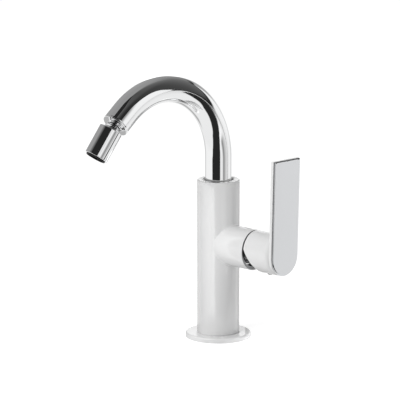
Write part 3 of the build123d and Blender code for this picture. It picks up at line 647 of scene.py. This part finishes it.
grid_piece(
    "nozzle_sleeve_polished",
    turned(sleeve_outline, ball_centre, jet_axis, jet_across, columns=256),
    "nozzle", ["nozzle_sleeve"], "bright_chrome",
)

# %% Aerator housing
AERATOR_RADIUS = 8.15
AERATOR_WALL = 1.0
AERATOR_FLOOR = 8.65
AERATOR_END = 23.1
SCREEN_OPENING = 4.2
aerator_bore = AERATOR_RADIUS - AERATOR_WALL
aerator_outline = rounded([
    (AERATOR_RADIUS, AERATOR_FLOOR, 0.3), (AERATOR_RADIUS, AERATOR_END, 0.35),
    (aerator_bore, AERATOR_END, 0.25), (aerator_bore, AERATOR_FLOOR + AERATOR_WALL, 0.1),
    (SCREEN_OPENING, AERATOR_FLOOR + AERATOR_WALL, 0.1), (SCREEN_OPENING, AERATOR_FLOOR, 0.1),
])
grid_piece(
    "aerator_housing_moulded", turned(aerator_outline, ball_centre, jet_axis, jet_across),
    "nozzle", ["aerator_housing"], "black_plastic",
)

# %% [markdown]
# A bright cap covers the neck of the cartridge. Only a sliver of it shows, in the wedge below
# the lever's hub, where its turned grooves read as dark and light stripes.

# %% Cartridge cap
BRANCH_HEIGHT = 79.3
CAP_START = 36.6
CAP_END = 46.0
CAP_RADIUS = 11.6
CAP_BORE = 10.7
CAP_FOOT_RADIUS = 13.45
CAP_OPENING = 9.6
CAP_FOOT = 1.0
CAP_THICKNESS = 0.9
GROOVE_FLOOR = 11.15
GROOVE_STARTS = (38.4, 39.8, 41.2, 42.6)
GROOVE_WIDTH = 0.7
grooves = []
for groove_start in GROOVE_STARTS:
    groove_end = groove_start + GROOVE_WIDTH
    grooves += [
        (CAP_RADIUS, groove_start, 0.06), (GROOVE_FLOOR, groove_start, 0.06),
        (GROOVE_FLOOR, groove_end, 0.06), (CAP_RADIUS, groove_end, 0.06),
    ]
cap_outline = rounded([
    (CAP_BORE, CAP_START, 0.1), (CAP_FOOT_RADIUS, CAP_START, 0.1),
    (CAP_FOOT_RADIUS, CAP_START + CAP_FOOT, 0.1), (CAP_RADIUS, CAP_START + CAP_FOOT, 0.15),
    *grooves, (CAP_RADIUS, CAP_END, 1.0), (CAP_OPENING, CAP_END, 0.2),
    (CAP_OPENING, CAP_END - CAP_THICKNESS, 0.2), (CAP_BORE, CAP_END - CAP_THICKNESS, 0.2),
])
grid_piece(
    "cartridge_cap_polished", turned(cap_outline, BRANCH_HEIGHT * upright, sideways_x, upright),
    "mixer", ["cartridge_cover"], "bright_chrome",
)

# %% [markdown]
# The lever is one casting: a hollow hub that carries on the branch's oval, and an upright
# paddle behind a bright face plate. The face leans away from the column a little towards its
# top, so the hub's root, paddle and plate are all drawn on one leaning plane: across it, up it,
# and by their depth behind it.

# %% Lever sizes
HUB_RIM = 43.4
HUB_HALF_WIDTH = 14.7
HUB_HALF_HEIGHT = 16.8
HUB_WALL = 1.6
ROOT_HALF_HEIGHT = 16.5
ROOT_RISE = 0.4
CAVITY_END = 57.0
STEM_HOLE_END = 68.3
STEM_HOLE_HALF = 3.55
BEVEL_SLOPE = math.tan(math.radians(32.0))
BEVEL_TOP = 3.5
PLATE_FACE = 76.8
PLATE_THICKNESS = 1.4
PADDLE_THICKNESS = 2.7
PADDLE_HALF_WIDTH = 14.8
PADDLE_FOOT = 15.9
PADDLE_RISE = 79.5
PADDLE_CORNER = 1.2
LEAN = math.radians(1.5)
face_normal = np.array([math.cos(LEAN), 0.0, -math.sin(LEAN)])
face_up = np.array([math.sin(LEAN), 0.0, math.cos(LEAN)])
face_across = np.array([0.0, 1.0, 0.0])
face_origin = np.array([PLATE_FACE, 0.0, BRANCH_HEIGHT])
print("lever height", round(PADDLE_FOOT + PADDLE_RISE, 1), "mm")


# %% Ovals, the face plane and soft corners
def oval(turn, half_width, half_height):
    """Point of an upright oval: half width times cosine across, half height times sine up."""
    return np.stack([half_width * np.cos(turn), half_height * np.sin(turn)], -1)


def on_face(across_up, depth):
    """Points of the face plane, moved back into the lever by depth."""
    across, rise = across_up[..., :1], across_up[..., 1:]
    return face_origin + across * face_across + rise * face_up - depth * face_normal


def eased_corner(corner, first, second, radius, steps=5, support=1.3):
    """Rows of a rounded corner between two unit directions that lead away from it.

    A row stands at corner + radius * ((1 - k)^2 * first + k^2 * second), with k from 0 to 1.
    One more row on each side, at support times the radius, keeps the flats flat.
    """
    rows = [corner + radius * support * first]
    for k in np.linspace(0.0, 1.0, steps):
        rows.append(corner + radius * ((1 - k) ** 2 * first + k ** 2 * second))
    rows.append(corner + radius * support * second)
    return rows


def unit(vectors):
    """Vectors cut or stretched to length 1."""
    return vectors / np.linalg.norm(vectors, axis=-1, keepdims=True)


face_top = on_face(np.array([[0.0, PADDLE_RISE]]), 0.0)[0]
print("middle of the face's top edge at", face_top.round(2))


# %% [markdown]
# Lacquer is sprayed from outside, so the inside of a casting stays bare metal. The faces inside
# get a further material: a rough metal skin whose near-black tone is painted shade, which makes
# the joint between branch and hub read as a dark line. The branch's end is machined and shows
# light grey, so it gets the steel finish.

# %% Bare insides in painted shade
# Rough bare metal painted near black, as the shade inside the joint of branch and hub.
finishes["casting_skin"] = turned_metal("casting_skin", grey(0.05, 0.03), grey(0.09, 0.03), 0.5)


def facing_axis(centre, normal):
    """Faces that look towards the branch's axis: their normal points against their own place."""
    return normal[:, 1] * centre[:, 1] + normal[:, 2] * (centre[:, 2] - BRANCH_HEIGHT) < 0


def bare_metal(piece, **parts):
    """Gives parts of a piece another finish.

    Each part is finish=test. The test gets the centres, in millimetres, and the normals of all
    faces, and picks the faces that take the finish.
    """
    mesh = piece.data
    count = len(mesh.polygons)
    centre, normal = np.empty(count * 3), np.empty(count * 3)
    mesh.polygons.foreach_get("center", centre)
    mesh.polygons.foreach_get("normal", normal)
    number = np.zeros(count, np.int32)
    for finish, test in parts.items():
        picked = test(centre.reshape(-1, 3) / MM, normal.reshape(-1, 3))
        number[picked] = len(mesh.materials)
        mesh.materials.append(finishes[finish])
        print(piece.name, finish, "faces", int(picked.sum()))
    mesh.polygons.foreach_set("material_index", number)


# %% [markdown]
# The hub is a loft, a straight line from each point of one oval to the same point of another.
# The photograph's hub runs straight along its top, so the oval at its root stands a little
# higher than the CAD's. The rim, its cut and the hollow are the CAD's.
# The rim is cut back below the middle by a slanting cut, so that the lever can tilt without
# touching the branch. How far a line of the loft is cut depends on its height there, and its
# height on how far it is cut, so the two are worked out in turn until they settle.
# Both edges of the rim are rounded by a short curve that leaves one side and arrives on the
# other, because sprayed lacquer never keeps a sharp edge.

# %% Lever hub, outside
ROOT_OVERLAP = 0.3
ROOT_DEPTH = PLATE_THICKNESS + PADDLE_THICKNESS - ROOT_OVERLAP
SETTLING_ROUNDS = 6
HUB_COLUMNS = 160


def rim_cut(height):
    """Where along X the rim is cut: the slope times how far a height lies below the cut's top."""
    return HUB_RIM + BEVEL_SLOPE * np.maximum(0.0, BRANCH_HEIGHT + BEVEL_TOP - height)


def at_x(x, oval_points):
    """An oval of the branch's axis, stood up at x."""
    return np.stack([
        np.broadcast_to(x, len(oval_points)), oval_points[:, 0], BRANCH_HEIGHT + oval_points[:, 1]
    ], -1)


turn = full_turn(HUB_COLUMNS)
rim_ring = at_x(HUB_RIM, oval(turn, HUB_HALF_WIDTH, HUB_HALF_HEIGHT))
root_oval = oval(turn, PADDLE_HALF_WIDTH, ROOT_HALF_HEIGHT) + [0.0, ROOT_RISE]
root_ring = on_face(root_oval, ROOT_DEPTH)
root_pole = np.tile(on_face(np.zeros((1, 2)), ROOT_DEPTH), (len(turn), 1))
share = np.zeros(len(turn))
for _ in range(SETTLING_ROUNDS):
    height = rim_ring[:, 2] + share * (root_ring[:, 2] - rim_ring[:, 2])
    share = (rim_cut(height) - HUB_RIM) / (root_ring[:, 0] - HUB_RIM)
rim_outer = rim_ring + share[:, None] * (root_ring - rim_ring)
print("rim cut back by up to", round(rim_outer[:, 0].max() - HUB_RIM, 2), "mm")

# %% Lever hub, inside
inner_oval = oval(turn, HUB_HALF_WIDTH - HUB_WALL, HUB_HALF_HEIGHT - HUB_WALL)
rim_inner = at_x(rim_cut(BRANCH_HEIGHT + inner_oval[:, 1]), inner_oval)
cavity_ring = at_x(CAVITY_END, inner_oval)
to_square = STEM_HOLE_HALF / np.maximum(np.abs(np.cos(turn)), np.abs(np.sin(turn)))
square = to_square[:, None] * oval(turn, 1.0, 1.0)
hub_rows = [root_pole, root_ring]
hub_rows += [root_ring + k * (rim_outer - root_ring) for k in (0.25, 0.5, 0.75)]
hub_rows += eased_corner(
    rim_outer, unit(root_ring - rim_outer), unit(rim_inner - rim_outer), radius=0.35
)
hub_rows += eased_corner(
    rim_inner, unit(rim_outer - rim_inner), unit(cavity_ring - rim_inner), radius=0.2
)
hub_rows += [
    cavity_ring, at_x(CAVITY_END, square), at_x(STEM_HOLE_END, square),
    at_x(STEM_HOLE_END, 0.0 * square),
]
hub = grid_piece(
    "lever_hub_lacquered", np.array(hub_rows), "lever", ["lever_handle"], "white_lacquer",
    closed_along=False,
)


def hub_inside(centre, normal):
    """The rim's end, whose normals lie along X, and all that faces the axis behind it."""
    end = normal[:, 0] < -0.8
    hollow = (centre[:, 0] > HUB_RIM + 0.8) & facing_axis(centre, normal)
    return (end | hollow) & (centre[:, 0] < STEM_HOLE_END + 0.1)


# The rim's end and the hollow behind it get the painted shade.
bare_metal(hub, casting_skin=hub_inside)

# %% [markdown]
# Paddle and plate share one outline: straight sides, small corners at the top and a half-oval
# foot. A slab is that outline drawn inwards and carried through its thickness. Its two faces
# close on the middle line, where their halves are welded.

# %% Outline of the paddle
def paddle_outline():
    """The outline from the foot's lowest point round to it again, and the same on both sides.

    The foot is a quarter oval, then the side runs up in steps of about a millimetre, a quarter
    circle turns the corner, and the top runs to the middle line. The other half is its
    mirror image.
    """
    quarter = np.linspace(0.0, math.pi / 2, 40)
    foot = np.stack([PADDLE_HALF_WIDTH * np.sin(quarter), -PADDLE_FOOT * np.cos(quarter)], -1)
    side_end = PADDLE_RISE - PADDLE_CORNER
    heights = np.linspace(0.0, side_end, int(side_end))[1:]
    side = np.stack([np.full(len(heights), PADDLE_HALF_WIDTH), heights], -1)
    bend = np.linspace(0.0, math.pi / 2, 7)[1:]
    corner = np.stack([
        PADDLE_HALF_WIDTH - PADDLE_CORNER * (1 - np.cos(bend)),
        side_end + PADDLE_CORNER * np.sin(bend),
    ], -1)
    across = np.linspace(PADDLE_HALF_WIDTH - PADDLE_CORNER, 0.0, 14)[1:]
    top = np.stack([across, np.full(len(across), PADDLE_RISE)], -1)
    half = np.concatenate([foot, side, corner, top])
    mirrored = half[-2:0:-1] * [-1.0, 1.0]
    return np.concatenate([half, mirrored])


outline = paddle_outline()
print("paddle outline", len(outline), "points")

# %% Slabs from an outline
def drawn_in(outline, distance):
    """The outline moved inwards by a distance, square to its own direction."""
    ahead = unit(np.roll(outline, -1, 0) - np.roll(outline, 1, 0))
    inward = np.stack([-ahead[:, 1], ahead[:, 0]], -1)
    return outline + distance * inward


def slab(outline, front, thickness, edge, steps=5):
    """Rows of a slab: middle line, front face, round edge, round edge, back face, middle line.

    A round edge is a quarter circle. At an angle k it has drawn the outline in by
    edge * (1 - sin(k)), and stands edge * (1 - cos(k)) behind the front. The back edge is the
    same the other way round.
    """
    flat = drawn_in(outline, edge * 1.5)
    middle = flat * [0.0, 1.0]
    near = [(edge * (1 - math.sin(k)), edge * (1 - math.cos(k)))
            for k in np.linspace(0.0, math.pi / 2, steps)]
    rows = [on_face(middle, front), on_face(flat, front)]
    rows += [on_face(drawn_in(outline, inset), front + depth) for inset, depth in near]
    rows += [
        on_face(drawn_in(outline, inset), front + thickness - depth)
        for inset, depth in reversed(near)
    ]
    rows += [on_face(flat, front + thickness), on_face(middle, front + thickness)]
    return np.array(rows)


def weld(piece):
    """Joins points that lie on one another and drops the faces that this leaves without area."""
    mesh = bmesh.new()
    mesh.from_mesh(piece.data)
    bmesh.ops.remove_doubles(mesh, verts=mesh.verts, dist=MICRON)
    bmesh.ops.dissolve_degenerate(mesh, edges=mesh.edges, dist=MICRON)
    bmesh.ops.recalc_face_normals(mesh, faces=mesh.faces)
    open_edges = sum(1 for edge in mesh.edges if len(edge.link_faces) != 2)
    mesh.to_mesh(piece.data)
    mesh.free()
    print(piece.name, "welded, open edges", open_edges)


plate_rows = slab(outline, front=0.0, thickness=PLATE_THICKNESS, edge=0.9, steps=9)
paddle_rows = slab(outline, front=PLATE_THICKNESS, thickness=PADDLE_THICKNESS, edge=0.3)
print("plate", len(plate_rows), "rows, paddle", len(paddle_rows), "rows")


# %% [markdown]
# Paddle and plate are left out of mirror images. The paddle's white back would otherwise show
# in the bend of the spout and break the dark stripe that the photograph shows there unbroken.

# %% Paddle and face plate
paddle = grid_piece(
    "lever_paddle_lacquered", paddle_rows, "lever", ["lever_handle"], "white_lacquer",
    closed_along=False,
)
plate = grid_piece(
    "lever_plate_polished", plate_rows, "lever", ["lever_face_plate"], "face_chrome",
    closed_along=False,
)
for piece in (hub, paddle, plate):
    weld(piece)
for piece in (paddle, plate):
    piece.visible_glossy = False

# %% [markdown]
# The body stays as the CAD drew it, but its loose triangles would show as facets in the
# gloss. A copy is welded and shaded smooth, except across edges sharper than 30 degrees.

# %% Body casting
def smooth_copy(name, node_name, body):
    """A welded, smooth copy of a CAD node's mesh that stands for the node."""
    mesh = frame["nodes"][node_name].data.copy()
    mesh.name = name
    piece = placed(name, mesh)
    work = bmesh.new()
    work.from_mesh(mesh)
    bmesh.ops.remove_doubles(work, verts=work.verts, dist=MICRON)
    work.to_mesh(mesh)
    work.free()
    mesh.set_sharp_from_angle(angle=math.radians(30.0))
    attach(piece, body)
    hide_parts(node_name)
    print(name, "faces", len(mesh.polygons))
    return piece


BORE_START = 10.0
BORE_END = 41.6
BORE_RADIUS = 14.2
BRANCH_END = 41.9


def branch_bore(centre, normal):
    """Faces of the branch's bore: inside its radius, along its length, facing its axis."""
    inside = np.hypot(centre[:, 1], centre[:, 2] - BRANCH_HEIGHT) < BORE_RADIUS
    along = (centre[:, 0] > BORE_START) & (centre[:, 0] < BORE_END)
    return inside & along & facing_axis(centre, normal)


def branch_end(centre, normal):
    """Faces of the branch's machined end, whose normals lie along X."""
    return (centre[:, 0] > BRANCH_END) & (normal[:, 0] > 0.9)


body_casting = smooth_copy("mixer_body_lacquered", "mixer_body", "mixer")
# The branch's bore gets the painted shade, and its machined end the steel finish.
bare_metal(body_casting, casting_skin=branch_bore, steel=branch_end)

# %% [markdown]
# The studio is a pale floor that runs to white, a broad soft lamp on the left and an even
# light from all round. The floor glows a little for the camera only, so that it ends up as
# white as the background and still keeps a faint shadow under the flange.

# %% Floor
FLOOR_GREY = 0.80
FLOOR_GLOW = 0.62
FLOOR_HALF = 6.0


def studio_floor():
    finish = Finish("studio_floor")
    seen = finish.add("ShaderNodeLightPath", output="Is Camera Ray")
    lit = finish.add("ShaderNodeBsdfDiffuse", sockets={"Color": grey(FLOOR_GREY)})
    sockets = {"Color": grey(1.0), "Strength": FLOOR_GLOW * seen}
    glow = finish.add("ShaderNodeEmission", sockets=sockets)
    return finish.end(finish.add("ShaderNodeAddShader", sockets={0: lit, 1: glow}))


def stage_mesh(name, points, faces, material):
    """A fixed piece of the studio, which is no part of the mixer."""
    mesh = bpy.data.meshes.new(name)
    mesh.from_pydata(points, [], faces)
    mesh.materials.append(material)
    piece = placed(name, mesh)
    print("studio piece", name, "faces", len(mesh.polygons))
    return piece


floor_corners = [
    (x * FLOOR_HALF, y * FLOOR_HALF, 0.0) for x, y in ((-1, -1), (1, -1), (1, 1), (-1, 1))
]
floor = stage_mesh("floor", floor_corners, [(0, 1, 2, 3)], studio_floor())
floor.visible_glossy = False

# %% [markdown]
# The world is white where the camera, a mirror or glass looks at it. Its light on matt
# surfaces is less than half of that, so that the lamp still shapes the lacquer.

# %% White world
AMBIENT = 0.45


def white_world():
    finish = Finish("studio", "worlds")
    camera_ray, mirror_ray, glass_ray = (
        finish.add("ShaderNodeLightPath", output=f"Is {kind} Ray")
        for kind in ("Camera", "Glossy", "Transmission")
    )
    straight = finish.calculate("MAXIMUM", camera_ray, mirror_ray)
    straight = finish.calculate("MAXIMUM", straight, glass_ray)
    sockets = {"Color": grey(1.0), "Strength": AMBIENT + (1.0 - AMBIENT) * straight}
    background = finish.add("ShaderNodeBackground", sockets=sockets)
    return finish.end(background, "ShaderNodeOutputWorld")


bpy.context.scene.world = white_world()

# %% Soft lamp
LAMP_TARGET = Vector((0.0, 0.0, 0.1))


def soft_lamp(name, azimuth, elevation, distance, side, power):
    """A square lamp that looks at the mixer's middle from a direction."""
    towards = direction(azimuth, elevation)
    lamp = bpy.data.lights.new(name, "AREA")
    lamp.size = side
    lamp.energy = power
    holder = placed(name, lamp)
    holder.location = towards * distance + LAMP_TARGET
    holder.rotation_mode = "QUATERNION"
    holder.rotation_quaternion = towards.to_track_quat("Z", "Y")
    holder.visible_glossy = False
    print("lamp", name, "at", [round(part, 2) for part in holder.location])


soft_lamp("key", azimuth=8.0, elevation=33.0, distance=1.8, side=1.2, power=19.5)

# %% [markdown]
# Metal shows nothing but what stands round it. A dome, which only reflections can see, is
# painted like the studio that the photograph's chrome shows: white ground, a dark gap in it on
# the camera's side, a white strip next to the gap, and a grey ceiling that darkens to the
# right. Each edge is a bent line of elevation against azimuth, and each tone a bent line of
# brightness against azimuth. Both were chosen from what the photograph's chrome shows.
# Directions on the dome are seen from the middle of the spout.
#
# The ground is white with a few tones of its own: a grey shade far down on the left, which the
# underside of the bend shows, a grey rim low behind the mixer, which draws the outline of the
# jet, and above the horizon behind it a grey dusk and, beside that, a glow, which brightens
# the flange's top.

# %% Ground of the dome
GROUND_LEVEL = 0.93
WALL_LEVEL = 1.0
SHADE_LEVEL = 0.42
SHADE_SHARE = 0.9
RIM_LEVEL = 0.36
DUSK_LEVEL = 0.40
GLOW_GAIN = 0.5


def painted_ground(azimuth, elevation):
    """Brightness below the ceiling, in every direction."""
    far_ground = azimuth.along(
        (-180, 0.62), (-165, 0.95), (-120, 1.0), (-96, 0.60), (-80, 0.98), (55, 1.0), (70, 0.8),
        (77, 1.05), (85, 0.65), (93, 0.24), (98, 0.35), (106, 0.58), (122, 0.74), (140, 0.90),
        (165, 1.0), (180, 0.62),
    )
    level = elevation.step(-34, -18) * (far_ground - GROUND_LEVEL) + GROUND_LEVEL
    level = level.towards(WALL_LEVEL, elevation.step(-9, -3) * azimuth.step(96, 112))
    shade = elevation.band(-62, -50, -44, -34) * azimuth.band(-150, -136, -90, -74)
    level = level.towards(SHADE_LEVEL, SHADE_SHARE * shade)
    behind = azimuth.step(166, 174) + 1.0 - azimuth.step(-152, -144)
    level = level.towards(RIM_LEVEL, elevation.band(-33, -27, -21, -14) * behind)
    dusk = elevation.step(3, 14) * (1.0 - azimuth.step(-156, -142))
    level = level.towards(DUSK_LEVEL, dusk)
    glow = elevation.band(3, 8, 18, 23) * azimuth.band(-146, -141, -127, -122)
    return level + GLOW_GAIN * glow


print("tones laid on the ground", SHADE_LEVEL, RIM_LEVEL, DUSK_LEVEL)


# %% Ceiling of the dome
CEILING_EDGE_SHARE = 0.12
EDGE_SOFTNESS = 1.0


def painted_ceiling(level, azimuth, elevation):
    """Lays a grey ceiling over the ground, darkest along its edge and another grey overhead."""
    ceiling = azimuth.along(
        (-180, 0.16), (-150, 0.30), (-120, 0.36), (-50, 0.36), (-28, 0.15), (-12, 0.04),
        (0, 0.015), (80, 0.02), (134, 0.062), (180, 0.16),
    )
    overhead = azimuth.along(
        (-180, 0.24), (-150, 0.32), (20, 0.34), (45, 0.30), (62, 0.09), (110, 0.08),
        (150, 0.11), (180, 0.18),
    )
    ceiling = ceiling.towards(overhead, elevation.step(42, 64))
    edge = azimuth.along(
        (-180, 24), (-157, 21), (-145, 28), (-128, 28), (-121, 4), (-10, 2), (0, 28), (95, 33),
        (112, 28), (120, 25), (125, 20), (128, 14), (130, 7), (132, 0), (132.8, -9.5),
        (134.5, -9.5), (150, 1), (165, 12), (180, 24),
    )
    above = elevation - edge
    ceiling = ceiling * (CEILING_EDGE_SHARE + (1.0 - CEILING_EDGE_SHARE) * above.step(1, 6))
    return level.towards(ceiling, above.step(-EDGE_SOFTNESS, EDGE_SOFTNESS))


print("soft edge", 2 * EDGE_SOFTNESS, "degrees")


# %% Gap and strip
STRIP_LEVEL = 1.05
GAP_LEVEL = 0.022
GAP_FOOT_SOFTNESS = 1.5


def painted_gap(level, azimuth, elevation):
    """Cuts the dark gap between two bent lines, with the white strip just above it."""
    gap_low = azimuth.along(
        (-16, 90), (-14, 0), (-6, -14), (-1, -25), (10, -35), (25, -45), (60, -51), (80, -51),
        (103, -48), (110, -45.5), (116, -40), (121, -35.5), (127, -32.5), (131, -26),
        (132.6, -19.5), (133.2, -12),
    )
    gap_high = azimuth.along(
        (54, 90), (59, 0), (62, -14), (66, -21), (73, -25), (85, -27.5), (98, -26), (110, -23),
        (122, -18), (128, -14.5), (131.4, -11), (132.6, -10), (133.4, -40),
    )
    over_gap = elevation - gap_high
    strip = over_gap.band(-EDGE_SOFTNESS, EDGE_SOFTNESS, 3.0, 6.0)
    level = level.towards(STRIP_LEVEL, strip * azimuth.band(62, 66, 112, 130))
    over_foot = (elevation - gap_low).step(-GAP_FOOT_SOFTNESS, GAP_FOOT_SOFTNESS)
    gap = over_foot * (1.0 - over_gap.step(-EDGE_SOFTNESS, EDGE_SOFTNESS))
    return level.towards(GAP_LEVEL, gap)


print("strip and gap", STRIP_LEVEL, GAP_LEVEL)


# %% Paint of the dome
SPOUT_OVERHANG = 0.03
SPOUT_HEIGHT = 0.17


def dome_paint():
    finish = Finish("studio_dome")
    x, y, z = finish.point()
    y, z = y + SPOUT_OVERHANG, z - SPOUT_HEIGHT
    azimuth = finish.azimuth(x, y)
    away = finish.calculate("SQRT", x * x + y * y)
    elevation = finish.calculate("ARCTAN2", z, away) * DEGREES
    level = painted_ground(azimuth, elevation)
    level = painted_ceiling(level, azimuth, elevation)
    return finish.light(painted_gap(level, azimuth, elevation))


def only_in_reflections(piece):
    """Hides a piece of the studio from all rays but those of mirror images."""
    for rays in ("camera", "diffuse", "transmission", "volume_scatter", "shadow"):
        setattr(piece, "visible_" + rays, False)


# %% Reflection dome
DOME_RADIUS = 3.0
DOME_ROWS = 24
DOME_COLUMNS = 48
polar = np.linspace(0.0, math.pi, DOME_ROWS + 1)[:, None]
around = full_turn(DOME_COLUMNS)[None, :]
dome_points = DOME_RADIUS * np.stack([
    np.sin(polar) * np.cos(around), np.sin(polar) * np.sin(around), np.cos(polar) + 0.0 * around
], -1).reshape(-1, 3)
grid = np.arange(len(dome_points)).reshape(DOME_ROWS + 1, DOME_COLUMNS)
grid = np.hstack([grid, grid[:, :1]])
dome_quads = [grid[:-1, :-1], grid[1:, :-1], grid[1:, 1:], grid[:-1, 1:]]
dome_faces = np.stack(dome_quads, -1).reshape(-1, 4)
dome = stage_mesh("reflection_dome", dome_points.tolist(), dome_faces.tolist(), dome_paint())
only_in_reflections(dome)

# %% [markdown]
# The lacquer shows two faint sharp steps along the column, a brighter side on the left and a
# bright edge on the right. They are the reflections of two bright cards that stand close to it,
# bent round the column like a collar and lower than the chrome. Each fades out away from its
# sharp edge. A third card, only 3 mm high, stands behind the flange on the right. It isn't
# mirrored, but it lights the flange's far edge and the column's foot beside it.

# %% Bright cards
CARD_LOW = 0.005
CARD_HIGH = 0.126
CARD_STEPS = 32


def bright_card(name, from_azimuth, to_azimuth, radius, low, high, strengths):
    """A piece of an upright cylinder round the column, between two azimuths.

    Its strength runs evenly from the first value at from_azimuth to the second at to_azimuth.
    """
    sweep = np.radians(np.linspace(from_azimuth, to_azimuth, CARD_STEPS + 1))
    foot = np.stack([radius * np.sin(sweep), -radius * np.cos(sweep), np.full(len(sweep), low)], -1)
    points = np.concatenate([foot, foot + [0.0, 0.0, high - low]])
    lower = np.arange(CARD_STEPS)
    upper = lower + len(sweep)
    faces = np.stack([lower, lower + 1, upper + 1, upper], -1)
    finish = Finish(name)
    x, y, _ = finish.point()
    level = finish.azimuth(x, y).along((from_azimuth, strengths[0]), (to_azimuth, strengths[1]))
    card = stage_mesh(name, points.tolist(), faces.tolist(), finish.light(level))
    only_in_reflections(card)
    return card


bright_card("left_card", -40.0, 29.1, 0.030, CARD_LOW, CARD_HIGH, (0.3, 2.5))
bright_card("right_card", 130.0, 179.0, 0.031, CARD_LOW, CARD_HIGH, (1.5, 0.4))
floor_card = bright_card("floor_card", 62.0, 142.0, 0.033, 0.0, 0.003, (0.9, 4.2))
floor_card.visible_diffuse = True
floor_card.visible_glossy = False

# %% Colour handling
bpy.context.scene.view_settings.view_transform = "Standard"
